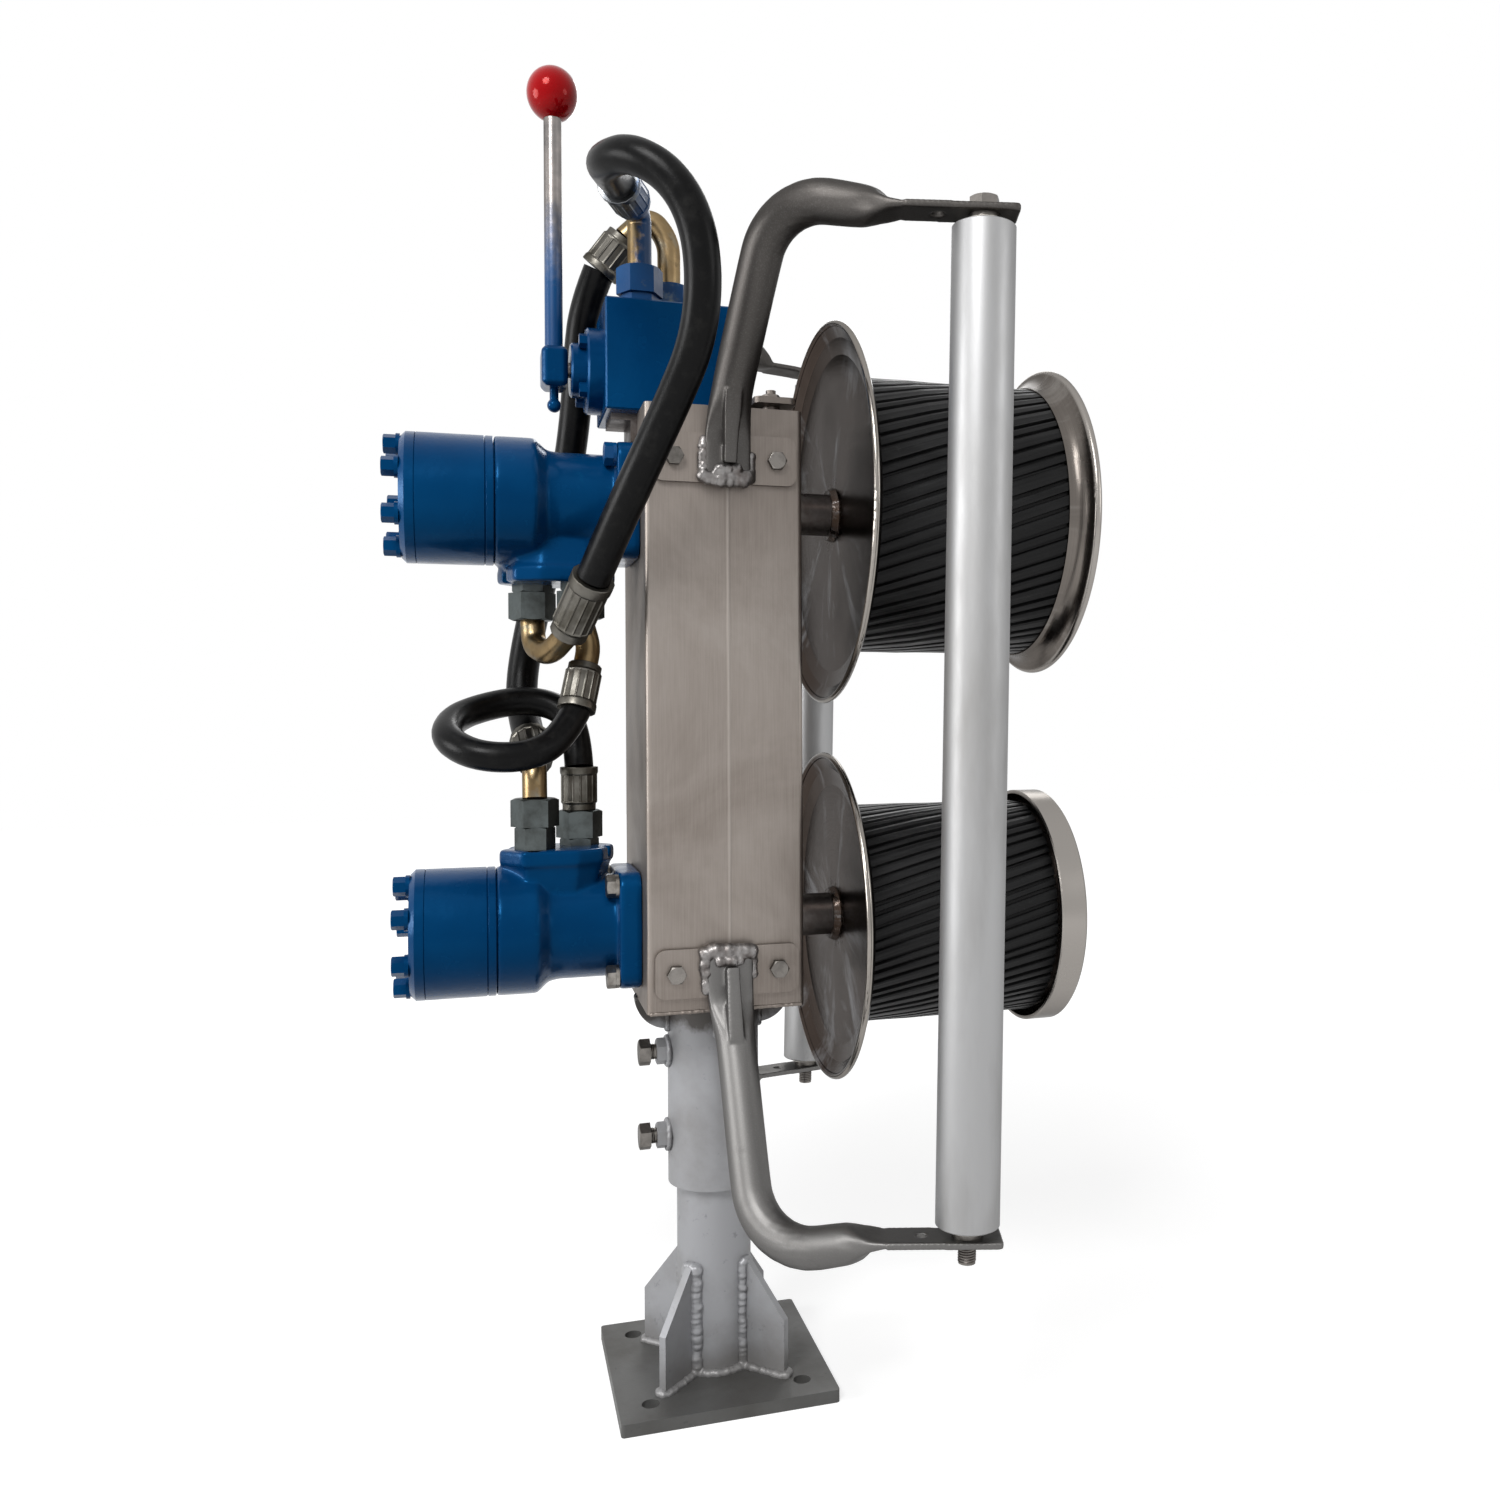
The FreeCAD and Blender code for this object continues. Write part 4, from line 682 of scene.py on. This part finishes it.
def sprayedRod():
    values = rodValues
    finish = Finish("sprayedRod")
    height = finish.axis("Z")
    spray = finish.noise(160.0, 5.0, 0.7)
    cover = finish.span(height + (spray - 0.5) * values["scatter"], *values["fade"], 1.0, 0.0)
    steel = finish.blend(finish.noise(70.0, 4.0), 0.4, 0.7, values["steel"], values["worn"])
    return underSpray(finish, steel, cover, finish.span(cover, 0.0, 1.0, 0.30, 0.36),
                      finish.noise(600.0, 2.0))


# Zinc nuts that the blue spray reached only on and above the valve
nutValues = {"zinc": (0.095, 0.108, 0.108), "worn": (0.048, 0.052, 0.050), "sprayedAbove": (0.860, 0.861)}


def nutZinc():
    values = nutValues
    finish = Finish("nutZinc")
    patch = finish.noise(48.0, 4.0, 0.65)
    high = finish.span(finish.axis("Z"), *values["sprayedAbove"])
    cover = high * finish.span(patch + finish.axis("X") * -2.0, 0.42, 0.56)
    zinc = finish.blend(patch, 0.42, 0.7, values["zinc"], values["worn"])
    return underSpray(finish, zinc, cover, finish.span(patch, 0.3, 0.7, 0.28, 0.44),
                      finish.noise(420.0, 2.0), metallic=0.95)


# Mount bolts: zinc on the lower motor, sprayed over on the upper one
def mountBolt():
    finish = Finish("mountBolt")
    worn = finish.noise(120.0, 4.0, 0.6)
    zinc = finish.blend(worn, 0.4, 0.7, (0.28, 0.265, 0.245), (0.13, 0.118, 0.105))
    return underSpray(finish, zinc, finish.byDrum(0.0, 1.0), finish.span(worn, 0.3, 0.7, 0.26, 0.40),
                      worn, strength=0.4)


# Weld metal: grey, glassy in the ripples and burnt blue-brown at places
def weldMetal():
    finish = Finish("weldMetal")
    heat = finish.noise(90.0, 4.0, 0.6)
    tint = finish.blend(heat, 0.40, 0.70, (0.27, 0.26, 0.255), (0.115, 0.10, 0.094))
    rough = finish.span(heat, 0.3, 0.7, 0.30, 0.46)
    return finish.ends(Base_Color=tint, Roughness=rough, Metallic=0.85,
                       Normal=finish.bump(finish.noise(260.0, 3.0), 0.0004, 0.8))


finishList = (
    blueEnamel(), stainlessSheet(), blastedSteel(), rollerTube(),
    spunFlange("innerFlange", flangeValues, ("lower_inner_flange", "upper_inner_flange")),
    spunFlange("outerFlange", rimValues, ("lower_outer_flange", "upper_outer_flange")),
    sprayedPaint("postPaint", (0.345, 0.348, 0.362), (0.20, 0.192, 0.184), 0.35, 0.42, 0.012, 0.290),
    sprayedPaint("platePaint", (0.115, 0.115, 0.112), (0.070, 0.066, 0.060), 0.40, 0.46),
    plainMetal("oiledSteel", (0.19, 0.172, 0.165), (0.09, 0.075, 0.066), 0.30),
    plainMetal("boltZinc", (0.22, 0.205, 0.190), (0.105, 0.098, 0.090), 0.30),
    plainMetal("groundSteel", (0.58, 0.57, 0.56), (0.44, 0.43, 0.42), 0.20),
    plainMetal("castNylon", (0.62, 0.60, 0.55), (0.50, 0.47, 0.42), 0.46, 0.0),
    plainMetal("ferruleZinc", (0.135, 0.128, 0.114), (0.066, 0.061, 0.050), 0.34),
    yellowZinc(), sprayedFerrule(), hoseRubber(), laggingRubber(), redKnob(), sprayedRod(),
    nutZinc(), mountBolt(), weldMetal(),
)
finishes = {material.name: material for material in finishList}

nodeFinishes = {
    "blueEnamel": ("motor_port_plates", "motor_gear_rings", "motor_end_covers", "motor_cover_bolts",
                   "lower_motor_housing", "upper_motor_housing", "valve_body", "valve_cover",
                   "valve_cover_bolts", "lever_hub", "lever_screw"),
    "stainlessSheet": ("head_box", "top_plate", "top_strap", "arm_plates", "bearing_covers"),
    "blastedSteel": ("front_lower_arm", "front_upper_arm", "rear_lower_arm", "rear_upper_arm"),
    "rollerTube": ("front_roller", "rear_roller"),
    "innerFlange": ("lower_inner_flange", "upper_inner_flange"),
    "outerFlange": ("lower_outer_flange", "upper_outer_flange"),
    "postPaint": ("post_tube", "base_gussets", "swivel_sleeve"),
    "platePaint": ("base_plate",),
    "oiledSteel": ("valve_bracket", "bearing_housings", "valve_spindle", "lower_drum_core",
                   "upper_drum_core", "lower_drum_shaft", "upper_drum_shaft", "lower_motor_shaft",
                   "upper_motor_shaft"),
    "boltZinc": ("arm_plate_bolts", "roller_axles", "axle_washers", "upper_lock_screw", "lower_lock_screw"),
    "groundSteel": ("bearings",),
    "castNylon": ("stop_disc", "front_roller_bushes", "rear_roller_bushes"),
    "yellowZinc": ("hose_pipes",),
    "ferruleZinc": ("hose_ferrules",),
    "nutZinc": ("port_adapters", "swivel_nuts"),
    "mountBolt": ("motor_mount_bolts",),
    "laggingRubber": ("lower_lagging", "upper_lagging"),
    "redKnob": ("lever_knob",),
    "sprayedRod": ("lever_rod",),
}

for finishName, nodeNames in nodeFinishes.items():
    for nodeName in nodeNames:
        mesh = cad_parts[nodeName].data
        mesh.materials.clear()
        mesh.materials.append(finishes[finishName])


# Hoses: the part's own routes, as smooth splines
print("hoses")
hoseValues = {
    "hose_a": {
        "diameter": 0.026,
        "length": 0.4403,
        "route": ((-0.081, -0.071, 0.946), (-0.093, -0.104, 0.942), (-0.098, -0.139, 0.933),
                  (-0.083, -0.168, 0.930), (-0.057, -0.181, 0.913), (-0.039, -0.182, 0.883),
                  (-0.033, -0.175, 0.843), (-0.037, -0.163, 0.802), (-0.053, -0.148, 0.762),
                  (-0.071, -0.132, 0.721), (-0.088, -0.111, 0.681), (-0.102, -0.086, 0.645)),
    },
    "hose_b": {
        "diameter": 0.026,
        "length": 0.4171,
        "route": ((-0.086, 0.035, 0.912), (-0.097, 0.044, 0.884), (-0.101, 0.056, 0.846),
                  (-0.103, 0.069, 0.800), (-0.109, 0.079, 0.752), (-0.120, 0.085, 0.702),
                  (-0.133, 0.087, 0.651), (-0.144, 0.088, 0.602), (-0.149, 0.082, 0.565),
                  (-0.147, 0.067, 0.540), (-0.143, 0.046, 0.522)),
    },
    "hose_c": {
        "diameter": 0.023,
        "length": 0.3218,
        "route": ((-0.111, -0.028, 0.547), (-0.124, -0.044, 0.523), (-0.152, -0.059, 0.511),
                  (-0.187, -0.057, 0.513), (-0.209, -0.031, 0.526), (-0.203, 0.007, 0.541),
                  (-0.176, 0.031, 0.551), (-0.145, 0.039, 0.556), (-0.118, 0.034, 0.549),
                  (-0.107, 0.020, 0.529), (-0.106, 0.014, 0.501)),
    },
}


def addHose(name, values):
    curve = bpy.data.curves.new(name + "_rubber", "CURVE")
    curve.dimensions = "3D"
    curve.bevel_depth = values["diameter"] / 2
    curve.bevel_resolution = 10
    curve.resolution_u = 14
    curve.use_fill_caps = True
    spline = curve.splines.new("NURBS")
    spline.points.add(len(values["route"]) - 1)
    for point, place in zip(spline.points, values["route"]):
        point.co = (*place, 1.0)
    spline.order_u = 3
    spline.use_endpoint_u = True
    hose = bpy.data.objects.new(name + "_rubber", curve)
    bpy.context.scene.collection.objects.link(hose)
    curve.materials.append(finishes["hoseRubber"])
    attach(hose, "head")
    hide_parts(name)


for hoseName, hoseSettings in hoseValues.items():
    addHose(hoseName, hoseSettings)


# Guide arms: the solids' own tubes with their facets rounded off
print("guide arms")
armSettings = {
    "flat": 1.0,
    "crease": 66.0,
    "levels": 2,
    "reach": (0.100, 0.185),
    "swell": {"lower": 0.0009, "upper": 0.0017},
    "fade": 0.030,
    "grain": 0.0010,
    "softening": 9,
}


def roundedArm(nodeName, values):
    arm = openCopy(nodeName, "_bent_tube")
    bpy.ops.mesh.dissolve_limited(angle_limit=math.radians(values["flat"]))
    sharp = math.radians(values["crease"])
    pickEdges(arm, lambda edge: len(edge.link_faces) == 2 and edge.calc_face_angle(0) > sharp)
    bpy.ops.transform.edge_crease(value=1.0)
    settle(arm, angle=values["crease"])
    rounding = arm.modifiers.new("rounding", "SUBSURF")
    rounding.levels = rounding.render_levels = values["levels"]
    bpy.ops.object.modifier_apply(modifier=rounding.name)
    startEditing(arm.name)
    near, far = values["reach"]
    pickEdges(arm, lambda edge: all(near < abs(vert.co.y) < far for vert in edge.verts))
    swell = values["swell"]["upper" if "upper" in nodeName else "lower"]
    bpy.ops.transform.shrink_fatten(value=swell, use_proportional_edit=True,
                                    proportional_size=values["fade"])
    bpy.ops.object.mode_set(mode="OBJECT")
    fusedAndSoft(arm, values["grain"], values["softening"])
    finishPiece(arm, "head", finishes["blastedSteel"])
    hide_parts(nodeName)


for armName in nodeFinishes["blastedSteel"]:
    roundedArm(armName, armSettings)


# Castings: the solids' own shape with the blends and soft edges of a sand casting
print("castings")
castings = {
    "lower_motor_housing": {"body": "head", "grain": 0.0014, "softening": 16},
    "upper_motor_housing": {"body": "head", "grain": 0.0014, "softening": 16},
    "lever_hub": {"body": "lever", "grain": 0.0008, "softening": 14},
}


def softCasting(nodeName, values):
    casting = openCopy(nodeName, "_casting")
    settle(casting)
    fusedAndSoft(casting, values["grain"], values["softening"])
    finishPiece(casting, values["body"], finishes["blueEnamel"])
    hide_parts(nodeName)


for castName, castValues in castings.items():
    softCasting(castName, castValues)


# Weld beads: squashed ripples laid along each seam, then fused into one lumpy bead
print("weld beads")
rippleSettings = {
    "segments": 10,
    "rings": 6,
    "along": 0.80,
    "height": 0.92,
    "pitch": 0.32,
    "spread": 0.16,
    "drift": 0.15,
    "grain": 0.0008,
    "softening": 6,
}


def makeRipple(values):
    pickNothing()
    bpy.ops.mesh.primitive_uv_sphere_add(segments=values["segments"], ring_count=values["rings"],
                                         radius=1.0)
    ripple = startEditing("ripple")
    bpy.ops.mesh.select_all(action="SELECT")
    bpy.ops.transform.resize(value=(values["along"], 1.0, values["height"]))
    return settle(ripple, angle=60)


def seamPlaces(seam, pitch):
    places = []
    spare = 0.0
    for start, end in zip(seam, seam[1:]):
        run = (Vector(end) - Vector(start)).length
        while spare < run:
            places.append(alongLine(start, end, spare / run))
            spare += pitch
        spare -= run
    return places


def weldGroup(name, body, finish, seams, ripple, values):
    chance = random.Random(name)
    ripples = []
    for seam, radius in seams:
        for place in seamPlaces(seam, radius * values["pitch"]):
            size = radius * chance.uniform(1 - values["spread"], 1 + values["spread"])
            drift = [chance.uniform(-values["drift"], values["drift"]) * radius for axis in range(3)]
            turned = Matrix.Translation(drift) @ place @ Matrix.Rotation(math.pi / 2, 4, "Y")
            ripples.append(copyTo(ripple, name, turned @ Matrix.Scale(size, 4)))
    bead = joined(ripples, name)
    fusedAndSoft(bead, values["grain"], values["softening"])
    finishPiece(bead, body, finishes[finish])


# A ring of points round an axis: centre, radius, and the two directions of its plane
def ringSeam(centre, radius, across, upward, steps=40):
    points = []
    for step in range(steps + 1):
        turn = math.radians(360.0 * step / steps)
        spoke = math.cos(turn) * Vector(across) + math.sin(turn) * Vector(upward)
        points.append(Vector(centre) + radius * spoke)
    return points


def turnedSeam(seam, degrees):
    turn = Matrix.Rotation(math.radians(degrees), 3, "Z")
    return [turn @ Vector(point) for point in seam]


baseWeldValues = {
    "plateTop": 0.010,
    "postRadius": 0.03015,
    "gussetHalf": 0.0034,
    "gussetReach": 0.0695,
    "gussetTop": 0.096,
    "bead": 0.0038,
    "wideBead": 0.0052,
    "capHalf": 0.0030,
}


def baseWelds(values, ripple):
    low = values["plateTop"] + 0.0010
    post = values["postRadius"]
    reach = values["gussetReach"]
    seams = [(ringSeam((0, 0, low), post + 0.0015, (1, 0, 0), (0, 1, 0)), values["bead"])]
    for quarter in range(4):
        turn = 45 + 90 * quarter
        for side in (-1, 1):
            y = side * (values["gussetHalf"] + 0.001)
            upright = [(post + 0.0008, y, low), (post + 0.0004, y, values["gussetTop"])]
            radius = values["wideBead"] if quarter == 2 else values["bead"]
            seams.append((turnedSeam(upright, turn), radius))
            foot = [(post, y, low), (reach, y, low - 0.0004)]
            seams.append((turnedSeam(foot, turn), values["bead"] * 0.86))
        half = values["capHalf"]
        toe = [(reach + 0.0012, -half, low), (reach + 0.0012, half, low)]
        seams.append((turnedSeam(toe, turn), values["bead"]))
        cap = [(post + 0.0010, -half, values["gussetTop"]), (post + 0.0010, half, values["gussetTop"])]
        seams.append((turnedSeam(cap, turn), values["bead"]))
    weldGroup("base_weld_beads", "base", "postPaint", seams, ripple, rippleSettings)


sleeveWeldValues = {
    "sleeveRadius": 0.0371,
    "boxBottom": 0.3136,
    "ribRadius": 0.027,
    "ribHalf": 0.0042,
    "nutHeights": (0.2675, 0.1987),
    "nutRadius": 0.0112,
    "bead": 0.0030,
}


def sleeveWelds(values, ripple):
    high = values["boxBottom"] - 0.0006
    sleeve = values["sleeveRadius"]
    seams = [(ringSeam((0, 0, high), sleeve + 0.0012, (1, 0, 0), (0, 1, 0)), values["bead"])]
    for quarter in range(4):
        for side in (-1, 1):
            y = side * values["ribHalf"]
            upright = [(sleeve + 0.0006, y, high - values["ribRadius"]), (sleeve + 0.0006, y, high)]
            level = [(sleeve, y, high), (sleeve + values["ribRadius"] - 0.002, y, high)]
            seams.append((turnedSeam(upright, 90 * quarter), values["bead"]))
            seams.append((turnedSeam(level, 90 * quarter), values["bead"]))
    for height in values["nutHeights"]:
        ring = ringSeam((-sleeve - 0.0006, 0, height), values["nutRadius"], (0, 1, 0), (0, 0, 1), 24)
        seams.append((ring, values["bead"] * 0.8))
    weldGroup("sleeve_weld_beads", "head", "postPaint", seams, ripple, rippleSettings)


armWeldValues = {
    "halfWidth": 0.0176,
    "plateFace": 0.0762,
    "footSetback": 0.0162,
    "leftRun": 0.0300,
    "rightRun": 0.0200,
    "lowerPlate": 0.3443,
    "upperPlate": 0.7406,
    "bead": 0.0046,
    "capBead": 0.0058,
    "barBead": 0.0044,
    "barReach": 0.0085,
    "barSetback": 0.0070,
    "standOff": {"side": 0.0018, "cap": 0.0032, "bar": 0.0064},
}
lumpySettings = dict(rippleSettings, along=0.95, pitch=0.26, spread=0.20, drift=0.20, softening=12)


def armWelds(values, ripple):
    seams = []
    for height, outward in ((values["lowerPlate"], -1), (values["upperPlate"], 1)):
        foot = height - outward * values["footSetback"]
        left, right = -values["halfWidth"], values["halfWidth"]
        for side in (-1, 1):
            y = side * (values["plateFace"] + values["standOff"]["side"])
            leftSide = [(left, y, foot + outward * values["leftRun"]), (left - 0.0015, y, foot)]
            seams.append((leftSide, values["bead"]))
            rightSide = [(right + 0.0005, y, foot), (right, y, foot + outward * values["rightRun"])]
            seams.append((rightSide, values["bead"] * 0.85))
            y = side * (values["plateFace"] + values["standOff"]["cap"])
            end = foot + outward * 0.002
            cap = [(left - 0.001, y, end), (left + 0.006, y, foot), (right - 0.006, y, foot),
                   (right, y, end)]
            seams.append((cap, values["capBead"]))
            y = side * (values["plateFace"] + values["standOff"]["bar"])
            z = foot + outward * values["barSetback"]
            seams.append(([(-values["barReach"], y, z), (values["barReach"], y, z)], values["barBead"]))
    weldGroup("arm_weld_beads", "head", "weldMetal", seams, ripple, lumpySettings)


boxWeldValues = {"left": -0.0600, "right": 0.0582, "face": 0.0718, "edge": 0.3140, "bead": 0.0017}


def boxWelds(values, ripple):
    seams = []
    for side in (-1, 1):
        line = [(values["left"], side * values["face"], values["edge"]),
                (values["right"], side * values["face"], values["edge"])]
        seams.append((line, values["bead"]))
    weldGroup("box_bottom_weld_beads", "head", "stainlessSheet", seams, ripple,
              rippleSettings)


rippleModel = makeRipple(rippleSettings)
baseWelds(baseWeldValues, rippleModel)
sleeveWelds(sleeveWeldValues, rippleModel)
armWelds(armWeldValues, rippleModel)
boxWelds(boxWeldValues, rippleModel)
bpy.data.objects.remove(rippleModel)


# Crimped ferrules: a turned collar, the crimped part with its eight flats, and a plain mouth
print("ferrules")
ferruleSettings = {
    "flats": 8,
    "collar": 0.14,
    "mouth": 0.12,
    "shoulder": 0.05,
    "inset": 0.05,
    "press": 0.055,
    "collarShrink": 0.90,
    "mouthSwell": 1.03,
    "edge": 0.0011,
    "grip": 0.0032,
}

# Name, hose, which end of it, where the ferrule's collar sits, and finish
ferruleRuns = (
    ("hose_a_valve_ferrule", "hose_a", 0, (-0.066, -0.036, 0.945), "sprayedFerrule"),
    ("hose_a_motor_ferrule", "hose_a", -1, (-0.118, -0.050, 0.606), "ferruleZinc"),
    ("hose_b_valve_ferrule", "hose_b", 0, (-0.066, 0.026, 0.938), "ferruleZinc"),
    ("hose_b_motor_ferrule", "hose_b", -1, (-0.141, 0.012, 0.506), "ferruleZinc"),
    ("hose_c_upper_ferrule", "hose_c", 0, (-0.103, -0.017, 0.582), "ferruleZinc"),
    ("hose_c_lower_ferrule", "hose_c", -1, (-0.106, 0.014, 0.466), "ferruleZinc"),
)


def makeFerrule(name, start, end, radius, values):
    length = (Vector(end) - Vector(start)).length
    pickNothing()
    bpy.ops.mesh.primitive_cylinder_add(vertices=values["flats"] * 2, radius=radius, depth=length)
    ferrule = startEditing(name)
    collar, mouth, shoulder = -0.5 + values["collar"], 0.5 - values["mouth"], values["shoulder"]
    cuts = (collar, collar + shoulder, mouth - shoulder, mouth)
    for cut in cuts:
        bpy.ops.mesh.select_all(action="SELECT")
        bpy.ops.mesh.bisect(plane_co=(0, 0, cut * length), plane_no=(0, 0, 1))

    # The flats: alternate strips between the inner cuts are pressed in
    low, high = cuts[1] * length, cuts[2] * length

    def pressed(face):
        centre = face.calc_center_median()
        side = math.atan2(centre.y, centre.x) / (2 * math.pi) * values["flats"]
        return low < centre.z < high and abs(side - round(side)) < 0.3

    pickFaces(ferrule, pressed)
    bpy.ops.mesh.inset(use_individual=True, thickness=radius * values["inset"],
                       depth=-radius * values["press"])
    pickEdges(ferrule, lambda edge: all(vert.co.z < (cuts[0] + 0.01) * length for vert in edge.verts))
    shrink = values["collarShrink"]
    bpy.ops.transform.resize(value=(shrink, shrink, 1))
    pickEdges(ferrule, lambda edge: all(vert.co.z > (cuts[3] - 0.01) * length for vert in edge.verts))
    swell = values["mouthSwell"]
    bpy.ops.transform.resize(value=(swell, swell, 1))
    settle(ferrule, alongLine(start, end), angle=30)
    rounding = ferrule.modifiers.new("rounding", "BEVEL")
    rounding.width = values["edge"]
    rounding.segments = 3
    rounding.angle_limit = math.radians(28)
    bpy.ops.object.modifier_apply(modifier=rounding.name)
    bpy.ops.object.shade_smooth_by_angle(angle=math.radians(35))
    return ferrule


for ferruleName, hoseName, whichEnd, collarPlace, ferruleFinish in ferruleRuns:
    hoseEnd = hoseValues[hoseName]["route"][whichEnd]
    ferruleRadius = hoseValues[hoseName]["diameter"] / 2 + ferruleSettings["grip"]
    crimped = makeFerrule(ferruleName, collarPlace, hoseEnd, ferruleRadius, ferruleSettings)
    finishPiece(crimped, "head", finishes[ferruleFinish])
    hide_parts("hose_ferrules")


# Screw threads: one ridge wound round the shank
print("threads")
threadSettings = {"segments": 20, "ridge": 0.0005, "root": 0.0002}


def addThread(name, body, start, end, values):
    radius, pitch = values["radius"], values["pitch"]
    length = (Vector(end) - Vector(start)).length
    pickNothing()
    bpy.ops.mesh.primitive_plane_add(size=pitch, rotation=(math.pi / 2, 0, 0))
    bpy.ops.object.transform_apply(location=False, rotation=True, scale=False)
    thread = startEditing(name)
    pickEdges(thread, lambda edge: all(vert.co.x > 0 for vert in edge.verts))
    bpy.ops.mesh.merge(type="CENTER")
    bpy.ops.mesh.select_all(action="SELECT")
    depth = values["ridge"] + values["root"]
    bpy.ops.transform.resize(value=(depth / pitch, 1, 0.94))
    bpy.ops.transform.translate(value=(radius - values["root"] + depth / 2, 0, pitch / 2))
    bpy.ops.mesh.select_mode(type="FACE")
    bpy.ops.mesh.select_all(action="SELECT")
    bpy.ops.mesh.delete(type="ONLY_FACE")
    bpy.ops.object.mode_set(mode="OBJECT")
    pickOnly(thread)
    winding = thread.modifiers.new("winding", "SCREW")
    winding.axis = "Z"
    winding.screw_offset = pitch
    winding.iterations = int(length / pitch) - 1
    winding.steps = winding.render_steps = values["segments"]
    winding.use_merge_vertices = True
    winding.merge_threshold = mergeDistance
    bpy.ops.object.modifier_apply(modifier=winding.name)
    bpy.ops.object.mode_set(mode="EDIT")
    bpy.ops.mesh.select_all(action="SELECT")
    bpy.ops.mesh.remove_doubles(threshold=mergeDistance)
    bpy.ops.mesh.select_mode(type="EDGE")
    bpy.ops.mesh.select_all(action="DESELECT")
    bpy.ops.mesh.select_non_manifold()
    bpy.ops.mesh.edge_face_add()
    settle(thread, alongLine(start, end, 0.0), angle=40)
    finishPiece(thread, body, finishes["oiledSteel"])


lockValues = dict(threadSettings, outer=-0.0532, inner=-0.0470, radius=0.0060, pitch=0.00125)
lockHeights = {"upper_lock": 0.2675, "lower_lock": 0.1987}
for lockName, lockHeight in lockHeights.items():
    addThread(lockName + "_thread", lockName, (lockValues["outer"], 0, lockHeight),
              (lockValues["inner"], 0, lockHeight), lockValues)

axleValues = dict(threadSettings, y=0.235, lean=math.radians(1.25), stub=0.0138, rise=0.0005,
                  radius=0.0060, pitch=0.00175)
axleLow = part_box("roller_axles")[0]
axleUp = Vector((math.sin(axleValues["lean"]), 0, math.cos(axleValues["lean"])))
for sideName, side in (("front", -1), ("rear", 1)):
    axleY = side * axleValues["y"]
    stubStart = Vector((axleLow[0] + axleValues["radius"], axleY, axleLow[2] + axleValues["rise"]))
    addThread(sideName + "_axle_thread", "head", stubStart, stubStart + axleUp * axleValues["stub"],
              axleValues)

shaftValues = dict(threadSettings, inset=0.0003, run=0.0065, radius=0.0120, pitch=0.00175)
for drumName, drumHeight in (("upper_drum", drumAxes[1]), ("lower_drum", drumAxes[0])):
    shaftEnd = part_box(drumName + "_shaft")[1][0]
    addThread(drumName + "_shaft_thread", drumName, (shaftEnd - shaftValues["run"], 0, drumHeight),
              (shaftEnd - shaftValues["inset"], 0, drumHeight), shaftValues)
